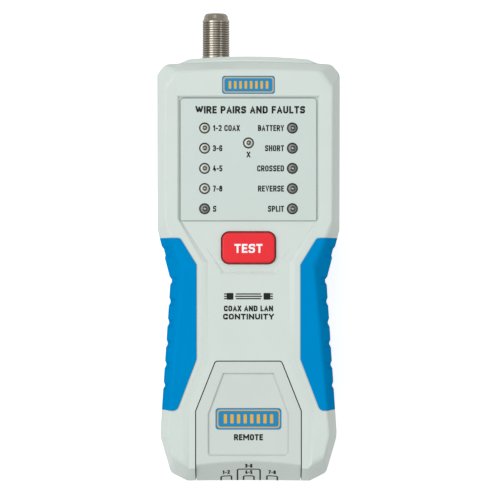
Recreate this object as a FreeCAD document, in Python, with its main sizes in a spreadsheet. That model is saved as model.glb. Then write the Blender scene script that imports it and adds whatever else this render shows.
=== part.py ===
"""Hand-held network cable tester with a docked remote, as a parametric document.

The tester lies on its back: X across it, Y from its foot to its sockets, Z out of its front.
Sketches count Y from the foot of the case. Each finished piece is then moved back by half
of the overall length, so that the origin lies under the middle of the whole tester.
"""
import FreeCAD, Part
import math
import os
import re

import Sketcher

# ---------------------------------------------------------------- driving dimensions

SIZES = {
    # outline of the case at its belt, where the two halves meet
    "foot_half": 21.2, "heel_half": 27.0, "hip_half": 30.7, "waist_half": 27.1,
    "chest_half": 31.6, "arm_half": 31.75, "crown_half": 28.8,
    "foot_y": 0.0, "heel_y": 2.95, "hip_y": 15.55, "waist_y": 69.35,
    "chest_y": 86.75, "arm_y": 140.5, "crown_y": 143.95, "crown_rise": 1.3,
    # how far each corner of the front face lies in and up from the belt's corner
    "foot_in": 0.6, "heel_in": 1.0, "hip_in": 2.9, "waist_in": 4.5,
    "chest_in": 2.9, "arm_in": 2.8, "crown_in": 4.2,
    "foot_up": 5.6, "heel_up": 6.05, "hip_up": 0.6, "waist_up": 4.6,
    "chest_up": 2.6, "arm_up": -5.3, "crown_up": -3.0, "rim_rise": 0.6,
    # radii of the outline's rounded corners
    "heel_round": 3.0, "hip_round": 8.0, "arm_round": 3.0, "crown_round": 2.5,
    # heights of the case
    "thickness": 34.0, "belt_z": 19.0, "bevel_z": 27.0, "draft": 0.3,
    "rear_edge": 2.2, "rear_round": 1.8, "wall": 2.4,
    # raised pad that carries the sockets at the crown
    "pad_half": 24.1, "pad_top_half": 20.6, "pad_crown_y": 146.45, "pad_shoulder": 0.95,
    "pad_low_z": 8.5, "pad_high_z": 27.8, "pad_slope": 1.2,
    # sunken channel down the middle of the front
    "channel_depth": 0.8, "channel_slope": 1.8, "channel_rim": 0.7, "channel_low_half": 20.4,
    "channel_waist_half": 14.0, "channel_high_half": 23.6, "channel_top_y": 131.85,
    "channel_flare_low_y": 26.75, "channel_low_y": 42.85, "channel_high_y": 75.65,
    "channel_flare_high_y": 90.5,
    # shallow well around the button
    "well_depth": 0.5, "well_slope": 0.8, "well_foot_half": 8.45, "well_foot_y": 72.2,
    "well_side_half": 11.6, "well_side_y": 76.5, "well_top_half": 14.5, "well_top_y": 80.5,
    # soft grips
    "grip_skin": 1.2, "grip_proud": 0.3, "leaf_half": 17.8, "leaf_high_y": 74.75,
    "leaf_low_y": 42.35, "leaf_top_half": 23.4, "leaf_top_y": 83.85, "leaf_toe_half": 24.0,
    "leaf_toe_y": 26.05, "leaf_heel_half": 25.8, "leaf_bottom_y": 24.85,
    "leaf_round": 2.0, "leaf_corner": 1.5,
    "rib_first_y": 32.15, "rib_pitch": 7.25, "rib_count": 6, "rib_width": 1.4,
    "rib_flank": 0.55, "rib_depth": 0.47, "rib_low_z": 3.4, "rib_margin": 3.0,
    "top_rib_y": 77.7, "top_rib_width": 2.6,
    # label plate and lamps
    "label_half": 23.2, "label_low_y": 89.85, "label_high_y": 131.55, "label_thick": 0.4,
    "label_corner": 1.1, "lamp_column": 15.0, "lamp_first_y": 93.85, "lamp_pitch": 6.9,
    "lamp_cross_y": 116.35, "lamp_radius": 1.6, "lamp_gap": 0.32, "lamp_flange": 2.15,
    "lamp_flange_thick": 1.0, "lamp_height": 5.3, "lamp_stand": 2.0, "lamp_leg": 0.5,
    "lamp_leg_pitch": 2.54,
    # button and its switch
    "button_half_width": 9.15, "button_half_height": 5.4, "button_y": 80.5,
    "button_corner": 2.6, "button_round": 0.9, "button_gap": 0.3, "button_proud": 1.3,
    "button_wall": 1.5, "button_flange": 1.2, "button_flange_thick": 0.9,
    "button_play": 0.1, "button_post": 1.6, "switch_side": 6.0, "switch_height": 3.5,
    "switch_plunger": 1.7, "switch_travel": 1.0, "switch_gap": 0.1, "switch_seat": 0.3,
    # main board
    "board_half": 22.0, "board_low_y": 61.65, "board_high_y": 140.65, "board_thick": 1.6,
    "board_screw_x": 19.5, "board_screw_low_y": 65.65, "board_screw_high_y": 118.0,
    "board_boss": 2.4, "board_screw": 1.0, "board_screw_length": 5.0,
    "board_screw_head": 1.9, "board_screw_head_thick": 1.3, "screw_gap": 0.05,
    "chip_half_width": 5.2, "chip_half_height": 3.75, "chip_thick": 2.3, "chip_y": 91.65,
    # sockets for network plugs
    "socket_x": 9.5, "socket_width": 16.0, "socket_height": 13.2, "socket_depth": 21.0,
    "socket_gap": 0.2, "socket_set_back": 1.0, "plug_width": 11.8, "plug_height": 6.8,
    "plug_depth": 14.5, "plug_drop": 1.9, "latch_width": 6.2, "latch_height": 1.5,
    "latch_slot_width": 3.4, "latch_slot_height": 1.3, "contact_pitch": 1.02,
    "contact_width": 0.45, "contact_thick": 0.35, "contact_reach": 5.6, "contact_drop": 1.9,
    # threaded socket for a coaxial plug
    "coax_x": -11.3, "thread_radius": 4.7625, "thread_pitch": 0.79375, "thread_depth": 0.26,
    "thread_land": 0.36, "thread_root": 0.1, "thread_turns": 15, "thread_start": 0.6,
    "coax_neck_radius": 4.5,
    "coax_reach": 15.3, "coax_nose_radius": 3.6, "coax_nose_length": 2.6,
    "coax_nose_round": 0.6, "coax_shoulder_radius": 4.35, "coax_shoulder_length": 1.7,
    "coax_bore": 2.6, "coax_pin": 1.1, "coax_pin_bore": 0.45, "coax_recess": 0.3,
    "coax_flats": 11.0, "coax_flange_thick": 2.8, "coax_tail": 3.0, "coax_tail_radius": 4.0,
    "coax_gap": 0.15, "coax_lead": 3.0, "coax_lead_radius": 0.4, "saddle_thick": 1.6,
    # battery, its compartment and its door
    "battery_length": 48.5, "battery_half": 13.25, "battery_thick": 17.5,
    "battery_low_y": 59.65, "battery_gap": 0.5, "battery_lift": 0.3, "battery_round": 2.5,
    "terminal_spread": 6.35, "terminal_radius": 2.9, "terminal_height": 2.6,
    "snap_half_width": 12.5, "snap_half_height": 6.2, "snap_thick": 2.4,
    "lead_radius": 0.8, "lead_x": 3.2, "lead_rise": 4.7, "lead_run": 1.2, "lead_bend": 4.0,
    "bay_wall": 2.2, "bay_height": 11.0, "bay_spare": 2.4, "door_half": 14.6,
    "door_thick": 2.1, "door_gap": 0.3, "door_margin": 1.4, "tab_length": 2.0,
    "tab_thick": 1.1, "tab_half": 3.0, "tab_x": 9.0, "tab_gap": 0.3, "tongue_half": 5.0,
    "tongue_thick": 1.0, "tongue_height": 4.0, "tongue_gap": 0.6, "thumb_radius": 6.0,
    "thumb_depth": 0.8,
    # screws of the case
    "case_screw_high_x": 25.5, "case_screw_high_y": 134.65, "case_screw_low_x": 23.4,
    "case_screw_low_y": 11.65, "case_boss": 3.0, "case_screw": 1.45,
    "case_screw_head": 2.4, "case_screw_head_thick": 1.8, "case_screw_length": 16.0,
    "case_screw_sink": 7.0, "head_gap": 0.25, "bite": 0.6,
    # remote unit and its dock
    "remote_half": 17.9, "remote_top_half": 11.2, "remote_top_y": 41.55,
    "remote_flare_y": 24.65, "remote_corner": 1.0, "remote_low_z": 9.8,
    "remote_split_z": 22.5, "remote_wall": 1.6, "remote_bevel_y": 7.1,
    "remote_bevel_z": 25.2, "remote_bevel_sweep": 120.0, "remote_bevel_round": 1.2,
    "remote_set_back": 0.3,
    "dock_gap": 0.35, "dock_floor_gap": 0.3, "dock_wall": 2.0, "dock_floor": 1.8,
    "rail_low_z": 19.3, "rail_thick": 1.4, "rail_out": 0.7, "rail_groove": 1.0,
    "rail_length": 20.0, "rail_start": 2.0, "rail_gap": 0.3,
    "panel_depth": 0.6, "panel_slope": 0.4, "panel_half": 13.6, "panel_top_half": 8.4,
    "panel_low_y": 9.55, "panel_flare_y": 23.65, "panel_top_y": 37.35, "panel_corner": 1.2,
    "pocket_half": 5.9, "pocket_length": 13.0, "remote_board_half": 9.4,
    "remote_board_low_y": 4.2, "remote_board_high_y": 39.0, "remote_coax_reach": 11.2,
    "remote_thread_turns": 11, "remote_screw_x": 12.6, "remote_screw_y": 22.0,
    "remote_boss": 2.5, "remote_screw": 1.0, "remote_screw_head": 2.0,
    "remote_screw_sink": 2.6, "remote_screw_head_thick": 1.4, "remote_screw_length": 12.0,
    "resistor_radius": 1.1, "resistor_length": 6.3, "resistor_pitch": 2.8,
    "resistor_column": 4.6, "resistor_first_y": 14.0,
}

# how far a corner of an outline moves in and up when the outline shrinks by one millimetre
INWARD = {
    "foot": (0.26, 1.0), "heel": (0.83, 0.68), "hip": (1.01, 0.12), "waist": (1.01, 0.09),
    "chest": (1.0, 0.13), "arm": (1.0, -0.37), "crown": (0.46, -1.0),
}
# parts of the edges before and after a corner that its rounding takes
ROUNDED = {"heel": (0.2, 0.1), "hip": (0.1, 0.026), "arm": (0.021, 0.22), "crown": (0.2, 0.036)}
# the front's rounded rim: part of the way from the belt to the front's corners, and how far
# below the front face, in parts of the bevel's height
RIM = ((0.876, 0.124), (1.04, 0.043), (1.243, 0))
# part of a skin's thickness by which the front face and the rear face shrink
RIM_SHARE = 0.7
# direction of a grip's upper slanted edge, and the tangent length of its rounded corner per
# millimetre of radius
LEAF_SIDEWAYS, LEAF_UPWARD, LEAF_TANGENT = 0.523, 0.851, 0.559
# the same two numbers for the slanted sides of the remote
REMOTE_FLARE_UP, REMOTE_TOP_IN = 0.19, 0.68
# tangent lengths of the remote's rounded top corners, per millimetre of radius
CORNER_BACK, CORNER_DOWN, CORNER_ALONG = 0.25, 0.63, 0.68

LAMPS = {
    "led_pair_12": ("-lamp_column", 4), "led_pair_36": ("-lamp_column", 3),
    "led_pair_45": ("-lamp_column", 2), "led_pair_78": ("-lamp_column", 1),
    "led_shield": ("-lamp_column", 0), "led_battery": ("lamp_column", 4),
    "led_short": ("lamp_column", 3), "led_crossed": ("lamp_column", 2),
    "led_reverse": ("lamp_column", 1), "led_split": ("lamp_column", 0),
}

doc = FreeCAD.newDocument("CableTester")
sheet = doc.addObject("Spreadsheet::Sheet", "Sizes")
for row, (alias, number) in enumerate(SIZES.items(), 1):
    sheet.set(f"A{row}", alias.replace("_", " "))
    sheet.set(f"B{row}", str(number))
    sheet.setAlias(f"B{row}", alias)
doc.recompute()

# ---------------------------------------------------------------- helpers

NAME = re.compile(r"[a-z][a-z0-9_]*")
FAR = "200"
finished = []


def bound(formula):
    """The formula with the name of each size pointed at the sheet."""
    return NAME.sub(lambda word: "Sizes." + word[0] if word[0] in SIZES else word[0], formula)


def number(formula):
    return float(sheet.evalExpression(formula))


def bind(item, **formulas):
    """Bind properties to formulas; a double underscore stands for a dot."""
    for name, formula in formulas.items():
        item.setExpression(name.replace("__", "."), bound(formula))
    return item


def minus(formula):
    return f"-({formula})"


def mirrored(points):
    """A closed outline from the points of its right side, foot first."""
    return points + [(minus(x), y) for x, y in reversed(points)]


def draw(sketch, points, arcs=(), closed=True):
    """Draw an outline through points; arcs maps the place of an edge to its radius."""
    arcs = dict(arcs)
    places = [FreeCAD.Vector(number(x), number(y), 0) for x, y in points]
    edges = len(points) if closed else len(points) - 1
    first = len(sketch.Geometry)
    for place in range(edges):
        start, end = places[place], places[(place + 1) % len(places)]
        if place in arcs:
            radius = abs(number(arcs[place]))
            half = (end - start) * 0.5
            side = FreeCAD.Vector(half.y, -half.x, 0).normalize()
            if number(arcs[place]) > 0:
                side = -side
            depth = math.sqrt(max(radius ** 2 - half.Length ** 2, 0))
            middle = start + half - side * (radius - depth)
            ends = (start, end) if number(arcs[place]) > 0 else (end, start)
            sketch.addGeometry(Part.Arc(ends[0], middle, ends[1]), False)
        else:
            sketch.addGeometry(Part.LineSegment(start, end), False)
    starts = {}
    for place in range(edges):
        curve = sketch.Geometry[first + place]
        ahead = curve.StartPoint.distanceToPoint(places[place]) < 1e-6
        starts[place] = (1, 2) if ahead else (2, 1)
    for place in range(edges - 1 + closed):
        after = (place + 1) % edges
        sketch.addConstraint(Sketcher.Constraint(
            "Coincident", first + place, starts[place][1], first + after, starts[after][0]))
    for place in range(len(points)):
        last = place == edges
        edge = first + (place - 1 if last else place)
        end = starts[place - 1][1] if last else starts[place][0]
        for kind, formula in zip(("DistanceX", "DistanceY"), points[place]):
            rule = sketch.addConstraint(Sketcher.Constraint(kind, edge, end, number(formula)))
            sketch.setExpression(f"Constraints[{rule}]", bound(formula))
    for place, formula in arcs.items():
        radius = formula.lstrip("-")
        rule = sketch.addConstraint(
            Sketcher.Constraint("Radius", first + place, number(radius)))
        sketch.setExpression(f"Constraints[{rule}]", bound(radius))
    return sketch


def flat_sketch(name, points, height, arcs=()):
    """A free sketch at one height."""
    sketch = doc.addObject("Sketcher::SketchObject", name)
    bind(sketch, Placement__Base__z=height)
    return draw(sketch, points, arcs)


def loft(name, levels):
    """A ruled solid through (points, height, arcs) outlines."""
    solid = doc.addObject("Part::Loft", name)
    solid.Sections = [
        flat_sketch(f"{name}_level{place}", points, height, arcs)
        for place, (points, height, arcs) in enumerate(levels)]
    solid.Solid = True
    solid.Ruled = True
    return solid


def prism(name, points, low, high, arcs=()):
    """An upright solid between two heights."""
    solid = doc.addObject("Part::Extrusion", name)
    solid.Base = flat_sketch(f"{name}_outline", points, low, arcs)
    solid.DirMode = "Custom"
    solid.Dir = FreeCAD.Vector(0, 0, 1)
    solid.Solid = True
    return bind(solid, LengthFwd=f"({high}) - ({low})")


def block(name, x, y, z):
    """A box between pairs of formulas along X, Y and Z."""
    solid = doc.addObject("Part::Box", name)
    bind(solid, Placement__Base__x=x[0], Placement__Base__y=y[0], Placement__Base__z=z[0])
    return bind(solid, Length=f"({x[1]}) - ({x[0]})", Width=f"({y[1]}) - ({y[0]})",
                Height=f"({z[1]}) - ({z[0]})")


def rod(name, x, y, z, radius, length, along="z"):
    """A cylinder from a point: up, towards the crown or to the right."""
    solid = doc.addObject("Part::Cylinder", name)
    if along == "y":
        solid.Placement.Rotation = FreeCAD.Rotation(FreeCAD.Vector(1, 0, 0), -90)
    if along == "x":
        solid.Placement.Rotation = FreeCAD.Rotation(FreeCAD.Vector(0, 1, 0), 90)
    return bind(solid, Placement__Base__x=x, Placement__Base__y=y, Placement__Base__z=z,
                Radius=radius, Height=length)


def fuse(name, *solids):
    whole = doc.addObject("Part::MultiFuse", name)
    whole.Shapes = list(solids)
    return whole


def common(name, first, second):
    shared = doc.addObject("Part::Common", name)
    shared.Base, shared.Tool = first, second
    return shared


def cut(name, base, *tools):
    """The base without the tools."""
    result = doc.addObject("Part::Cut", name)
    result.Base = base
    result.Tool = tools[0] if len(tools) == 1 else fuse(f"{name}_tools", *tools)
    return result


def group(name, *solids):
    whole = doc.addObject("Part::Compound", name)
    whole.Links = list(solids)
    return whole


OVERALL = "(pad_crown_y + coax_reach)"


def finish(item, label, x="0", y="0", z="0", turn=0):
    """Name a finished piece and set it in the tester's frame."""
    item.Label = label
    item.Placement.Rotation = FreeCAD.Rotation(FreeCAD.Vector(0, 0, 1), turn)
    bind(item, Placement__Base__x=x, Placement__Base__y=f"({y}) - {OVERALL} / 2",
         Placement__Base__z=z)
    finished.append(item)
    return item


# ---------------------------------------------------------------- pieces made as bodies


def new_body(name):
    return doc.addObject("PartDesign::Body", name)


def plane(body, role):
    return next(item for item in body.Origin.OriginFeatures if item.Role == role)


def sketch_in(body, name, role="XY_Plane", lift="0"):
    sketch = body.newObject("Sketcher::SketchObject", name)
    sketch.AttachmentSupport = [(plane(body, role), "")]
    sketch.MapMode = "FlatFace"
    return bind(sketch, AttachmentOffset__Base__z=lift)


def pad(body, name, sketch, length):
    feature = body.newObject("PartDesign::Pad", name)
    feature.Profile = sketch
    bind(feature, Length=length)
    doc.recompute()
    return feature


def revolve(body, name, sketch, kind="PartDesign::Revolution"):
    """Turn the sketch about its own horizontal axis."""
    feature = body.newObject(kind, name)
    feature.Profile = sketch
    feature.ReferenceAxis = (sketch, ["H_Axis"])
    feature.Angle = 360
    doc.recompute()
    return feature


def round_edges(body, name, radius, chosen):
    """Round the edges of the body's last feature that the test picks."""
    base = body.Tip
    names = [f"Edge{place}" for place, edge in enumerate(base.Shape.Edges, 1) if chosen(edge)]
    feature = body.newObject("PartDesign::Fillet", name)
    feature.Base = (base, names)
    bind(feature, Radius=radius)
    doc.recompute()
    return feature


def upright(edge):
    box = edge.BoundBox
    return box.ZLength > 1e-3 and box.XLength < 1e-6 and box.YLength < 1e-6


def at_height(height):
    return lambda edge: abs(edge.BoundBox.ZMin - height) < 1e-6 > abs(edge.BoundBox.ZMax - height)


def rectangle(half_width, half_height, y="0"):
    return [(minus(half_width), f"{y} - ({half_height})"), (half_width, f"{y} - ({half_height})"),
            (half_width, f"{y} + ({half_height})"), (minus(half_width), f"{y} + ({half_height})")]


# ---------------------------------------------------------------- case


def between(start, end, share):
    """The point at a share of the way from one point to another."""
    return tuple(f"({first}) + {share} * (({last}) - ({first}))"
                 for first, last in zip(start, end))


def case_outline(share, inset, rounded):
    """The case's outline, from the belt (share 0) to the front face (share 1)."""
    names = list(INWARD)
    corners = {
        corner: (f"{corner}_half - {share} * {corner}_in - ({inset}) * {inward}",
                 f"{corner}_y + {share} * {corner}_up + ({inset}) * {upward}")
        for corner, (inward, upward) in INWARD.items()}
    half, low = corners["crown"]
    rise = "rim_rise" if share else "crown_rise"
    crown_radius = f"(({half})^2 + {rise}^2) / (2 * {rise})"
    right, arcs = [], {}
    for place, corner in enumerate(names):
        if corner not in ROUNDED or not rounded:
            right.append(corners[corner])
            continue
        back, ahead = ROUNDED[corner]
        arcs[len(right)] = f"{corner}_round"
        right.append(between(corners[corner], corners[names[place - 1]], back))
        if corner == "crown":
            right.append((f"({half}) * {1 - ahead}", f"{low} + {rise} * {1 - (1 - ahead) ** 2}"))
        else:
            right.append(between(corners[corner], corners[names[place + 1]], ahead))
    arcs.update({2 * len(right) - 2 - place: radius for place, radius in arcs.items()})
    arcs[len(right) - 1] = crown_radius
    return mirrored(right), arcs


def envelope(name, skin, top="thickness", rounded=True):
    """The space inside the case's outer surface, less a skin all over.

    The rounded one has the outer surface's round corners and rim, and the other one is plain.
    """
    rear, rear_arcs = case_outline(0, f"rear_round + {RIM_SHARE} * ({skin})", rounded)
    edge, edge_arcs = case_outline(0, f"draft + ({skin})", rounded)
    belt, belt_arcs = case_outline(0, skin, rounded)
    levels = [
        (rear, skin, rear_arcs),
        (edge, f"rear_edge + {RIM_SHARE} * ({skin})", edge_arcs),
        (belt, "belt_z", belt_arcs),
        (edge, f"bevel_z - (1 - {RIM_SHARE}) * ({skin})", edge_arcs)]
    for share, below in RIM if rounded else ((1, 0),):
        rim, rim_arcs = case_outline(share, f"{RIM_SHARE} * ({skin})", rounded)
        levels.append((rim, f"{top} - ({skin}) - {below} * (thickness - bevel_z)", rim_arcs))
    return loft(name, levels)


def socket_pad():
    """The raised pad at the crown."""
    def level(inset, height):
        right = [(f"pad_half - {inset}", "crown_y - wall / 2"),
                 (f"pad_half - {inset}", "crown_y"),
                 (f"pad_top_half - {inset}", f"pad_crown_y - pad_shoulder - {inset}")]
        half = right[-1][0]
        radius = f"(({half})^2 + pad_shoulder^2) / (2 * pad_shoulder)"
        return mirrored(right), height, {len(right) - 1: radius}
    return loft("socket_pad", [
        level("pad_slope", "pad_low_z"), level("0", "pad_low_z + pad_slope"),
        level("0", "pad_high_z - pad_slope"), level("pad_slope", "pad_high_z")])


def grip_zone(name, side):
    """The part of the case that one grip covers, side 1 on the right and -1 on the left."""
    tangent = f"{LEAF_TANGENT} * leaf_corner"
    points = [("leaf_heel_half", "leaf_bottom_y"), (FAR, "leaf_bottom_y"), (FAR, "leaf_top_y"),
              (f"leaf_top_half + {tangent}", "leaf_top_y"),
              (f"leaf_top_half - {LEAF_SIDEWAYS} * {tangent}",
               f"leaf_top_y - {LEAF_UPWARD} * {tangent}"),
              ("leaf_half", "leaf_high_y"), ("leaf_half", "leaf_low_y"),
              ("leaf_toe_half", "leaf_toe_y")]
    points = [(f"{side} * ({x})", y) for x, y in points]
    sign = "" if side > 0 else "-"
    arcs = {3: f"{sign}leaf_corner", 7: f"{sign}leaf_round"}
    return prism(name, points, "-1", "thickness + 1", arcs)


def remote_outline(gap, low_y, corner="remote_corner"):
    """The remote's outline, grown all round by a gap, from a height up to its rounded top."""
    radius = f"({corner})"
    half = f"remote_half + ({gap})"
    top_half, top_y = f"remote_top_half + {REMOTE_TOP_IN} * ({gap})", f"remote_top_y + ({gap})"
    right = [(half, low_y), (half, f"remote_flare_y + {REMOTE_FLARE_UP} * ({gap})"),
             (f"{top_half} + {CORNER_BACK} * {radius}", f"{top_y} - {CORNER_DOWN} * {radius}"),
             (f"{top_half} - {CORNER_ALONG} * {radius}", top_y)]
    return mirrored(right), {2: radius, 4: radius}


AXIS_Z = "belt_z"
REMOTE_AXIS_Z = "(remote_low_z + remote_wall + socket_gap + socket_height / 2)"
REMOTE_FOOT_Y = "(foot_y + remote_set_back)"
FLOOR_Z = "(thickness - channel_depth)"
INNER_Z = "(thickness - wall)"
DOCK_Z = "(remote_low_z - dock_floor_gap)"
BOARD_LOW_Z = f"({AXIS_Z} + socket_height / 2)"
BOARD_Z = f"({BOARD_LOW_Z} + board_thick)"
SOCKET_MOUTH_Y = "(pad_crown_y - socket_set_back)"
POCKET_Y = "(remote_top_y + pocket_length)"
POCKET_Z = f"({REMOTE_AXIS_Z} + pocket_half)"


def lamp_places():
    places = {label: (x, f"lamp_first_y + {row} * lamp_pitch") for label, (x, row) in LAMPS.items()}
    places["led_cross"] = ("0", "lamp_cross_y")
    return places


def case_screw_places():
    for side in (1, -1):
        yield f"{side} * case_screw_high_x", "case_screw_high_y"
        yield f"{side} * case_screw_low_x", "case_screw_low_y"


def board_screw_places():
    for side in (1, -1):
        yield f"{side} * board_screw_x", "board_screw_high_y"
        yield f"{side} * board_screw_x", "board_screw_low_y"


def channel():
    """The channel's space, with sides that are steeper round the label than below it."""
    def level(share, height):
        low, high = f"{share} * channel_slope", f"{share} * channel_rim"
        right = [(f"channel_low_half + {low}", "-5"),
                 (f"channel_low_half + {low}", "channel_flare_low_y"),
                 (f"channel_waist_half + {low}", "channel_low_y"),
                 (f"channel_waist_half + {low}", "channel_high_y"),
                 (f"channel_high_half + {high}", "channel_flare_high_y"),
                 (f"channel_high_half + {high}", f"channel_top_y + {high}")]
        return mirrored(right), height, ()
    return loft("channel", [level("0", FLOOR_Z),
                            level("2", f"{FLOOR_Z} + 2 * channel_depth")])


def button_well():
    """A dip that starts flush beside the button and deepens towards its foot."""
    def level(spread, height):
        right = [(f"well_foot_half + {spread}", f"well_foot_y - well_top_y - {spread}"),
                 (f"well_side_half + {spread}", "well_side_y - well_top_y"),
                 (f"well_top_half + {spread}", f"{spread}")]
        return mirrored(right), height, ()
    well = loft("button_well", [level("0", "0"), level("2 * well_slope", "2 * well_depth")])
    well.Placement.Rotation = FreeCAD.Rotation(FreeCAD.Vector(1, 0, 0), 1)
    return bind(well, Placement__Rotation__Angle="atan(well_depth / (well_top_y - well_foot_y))",
                Placement__Base__y="well_top_y", Placement__Base__z=FLOOR_Z)


def button_hole():
    body = new_body("button_hole")
    sketch = draw(sketch_in(body, "button_hole_outline", lift="belt_z"), rectangle(
        "button_half_width + button_gap", "button_half_height + button_gap", "button_y"))
    pad(body, "button_hole_pad", sketch, "thickness")
    round_edges(body, "button_hole_corners", "button_corner + button_gap", upright)
    return body


def coax_place(name, low_y, high_y, radius, x="coax_x", z=AXIS_Z):
    return rod(name, x, low_y, z, radius, f"({high_y}) - ({low_y})", along="y")


def socket_hole(name, x, low_y, high_y, z):
    half = "socket_width / 2 + socket_gap"
    rise = "socket_height / 2 + socket_gap"
    return block(name, (f"{x} - ({half})", f"{x} + {half}"), (low_y, high_y),
                 (f"{z} - ({rise})", f"{z} + {rise}"))


def make_case():
    outer = envelope("outer_surface", "0")
    body = fuse("outer_body", outer, socket_pad())
    shell = cut("case_shell", body, envelope("case_cavity", "wall", rounded=False))
    below = block("below_belt", ("-100", "100"), ("-50", "250"), ("-50", AXIS_Z))
    above = block("above_belt", ("-100", "100"), ("-50", "250"), (AXIS_Z, "100"))

    gap_outline, gap_arcs = remote_outline("dock_gap", "-5", "remote_corner + dock_gap")
    dock = prism("dock", gap_outline, DOCK_Z, "thickness + 1", gap_arcs)
    jack_pocket = block("dock_pocket", ("-pocket_half", "pocket_half"),
                        ("remote_top_y - 2", POCKET_Y), (DOCK_Z, POCKET_Z))
    grooves = [block(f"rail_groove_{name}",
                     (f"{side} * (remote_half + dock_gap) + ({side} - 1) / 2 * rail_groove",
                      f"{side} * (remote_half + dock_gap) + ({side} + 1) / 2 * rail_groove"),
                     ("-5", "rail_start + rail_length + rail_gap"),
                     (AXIS_Z, "rail_low_z + rail_thick + rail_gap"))
               for name, side in (("right", 1), ("left", -1))]
    wall_outline, wall_arcs = remote_outline("dock_gap + dock_wall", "foot_y",
                                             "remote_corner + dock_gap + dock_wall")
    dock_walls = fuse(
        "dock_walls",
        prism("dock_block", wall_outline, f"{DOCK_Z} - dock_floor", "thickness", wall_arcs),
        block("dock_pocket_block", ("-pocket_half - dock_wall", "pocket_half + dock_wall"),
              ("remote_top_y - 2", f"{POCKET_Y} + dock_wall"),
              (f"{DOCK_Z} - dock_floor", f"{POCKET_Z} + dock_wall")))
    dock_body = common("dock_body", dock_walls, outer)

    bed = envelope("grip_bed", "grip_skin", rounded=False)
    zones = {"right": grip_zone("right_zone", 1), "left": grip_zone("left_zone", -1)}
    slots = cut("grip_slots", fuse("grip_zones", *zones.values()), bed)

    coax_hole = coax_place("coax_hole", "crown_y - 2 * wall", "pad_crown_y + 5",
                           "thread_radius + coax_gap")
    plug_hole = socket_hole("socket_hole", "socket_x", "crown_y - 2 * wall", "pad_crown_y + 5",
                            AXIS_Z)
    make_front_case(shell, below, dock_body, slots, [dock, jack_pocket, *grooves],
                    [coax_hole, plug_hole])
    make_rear_case(shell, above, dock_body, slots, [dock, jack_pocket],
                   [coax_hole, plug_hole])
    make_grips(zones, bed)


def make_front_case(shell, below, dock_body, slots, dock_cuts, crown_cuts):
    bosses = [rod(f"front_boss{place}", x, y, AXIS_Z, "case_boss", f"{INNER_Z} + bite - belt_z")
              for place, (x, y) in enumerate(case_screw_places())]
    bosses += [rod(f"board_boss{place}", x, y, BOARD_Z, "board_boss",
                   f"{INNER_Z} + bite - {BOARD_Z}")
               for place, (x, y) in enumerate(board_screw_places())]
    pilots = [rod(f"front_pilot{place}", x, y, f"{AXIS_Z} - 1", "case_screw + screw_gap",
                  "case_screw_sink + case_screw_length - belt_z + 2")
              for place, (x, y) in enumerate(case_screw_places())]
    pilots += [rod(f"board_pilot{place}", x, y, f"{BOARD_Z} - 1", "board_screw + screw_gap",
                   "board_screw_length - board_thick + 1.5")
               for place, (x, y) in enumerate(board_screw_places())]
    bores = [rod(f"{label}_bore", x, y, f"{INNER_Z} - 1", "lamp_radius + lamp_gap", "wall + 2")
             for label, (x, y) in lamp_places().items()]
    halves = cut("front_half", fuse("front_with_dock", shell, dock_body), below)
    bare = cut("front_dressed", halves, channel(), button_well())
    whole = fuse("front_with_bosses", bare, *bosses)
    finish(cut("front_case_solid", whole, *dock_cuts, *crown_cuts, *pilots, *bores,
               button_hole(), slots), "front_case")


def make_rear_case(shell, above, dock_body, slots, dock_cuts, crown_cuts):
    posts = [rod(f"rear_post{place}", x, y, "wall - bite", "case_boss", f"{AXIS_Z} - wall + bite")
             for place, (x, y) in enumerate(case_screw_places())]
    holes = [rod(f"rear_hole{place}", x, y, "-1", "case_screw + screw_gap", f"{AXIS_Z} + 2")
             for place, (x, y) in enumerate(case_screw_places())]
    sinks = [rod(f"rear_sink{place}", x, y, "-1", "case_screw_head + head_gap",
                 "case_screw_sink + 1")
             for place, (x, y) in enumerate(case_screw_places())]
    bay_half = "battery_half + battery_gap"
    bay_low_y = "battery_low_y - battery_gap"
    bay = block("battery_bay", (minus(bay_half), bay_half), (bay_low_y, BAY_HIGH_Y),
                ("-1", "wall + bay_height + 1"))
    bay_walls = block("bay_walls", (minus(f"{bay_half} + bay_wall"), f"{bay_half} + bay_wall"),
                      (f"{bay_low_y} - bay_wall / 2", f"{BAY_HIGH_Y} + bay_wall"),
                      ("wall - bite", "wall + bay_height"))
    opening = block("door_opening", (minus("door_half + door_gap"), "door_half + door_gap"),
                    (f"{DOOR_LOW_Y} - door_gap", f"{DOOR_HIGH_Y} + door_gap"), ("-1", "wall"))
    tab_slots = [block(f"tab_slot_{name}",
                       (f"{side} * tab_x - tab_half - tab_gap", f"{side} * tab_x + tab_half + tab_gap"),
                       (f"{DOOR_LOW_Y} - tab_length - tab_gap", f"{DOOR_LOW_Y}"),
                       ("door_thick - tab_thick - tab_gap", "wall + 1"))
                 for name, side in (("right", 1), ("left", -1))]
    saddle = block("coax_saddle", ("coax_x - coax_flats / 2", "coax_x + coax_flats / 2"),
                   (f"{SADDLE_Y} - saddle_thick", SADDLE_Y), ("wall - bite", AXIS_Z))
    saddle_hole = coax_place("saddle_hole", f"{SADDLE_Y} - 5", f"{SADDLE_Y} + 1",
                             "coax_tail_radius + coax_gap")
    rest = block("socket_rest", ("socket_x - socket_width / 4", "socket_x + socket_width / 4"),
                 (f"{SOCKET_MOUTH_Y} - socket_depth + 3", f"{SOCKET_MOUTH_Y} - socket_depth + 5"),
                 ("wall - bite", f"{AXIS_Z} - socket_height / 2"))
    whole = fuse("rear_with_walls", shell, dock_body, bay_walls, saddle, rest, *posts)
    half = cut("rear_half", whole, above)
    finish(cut("rear_case_solid", half, *dock_cuts, *crown_cuts, *holes, *sinks, bay, opening,
               *tab_slots, saddle_hole, slots), "rear_case")


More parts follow.
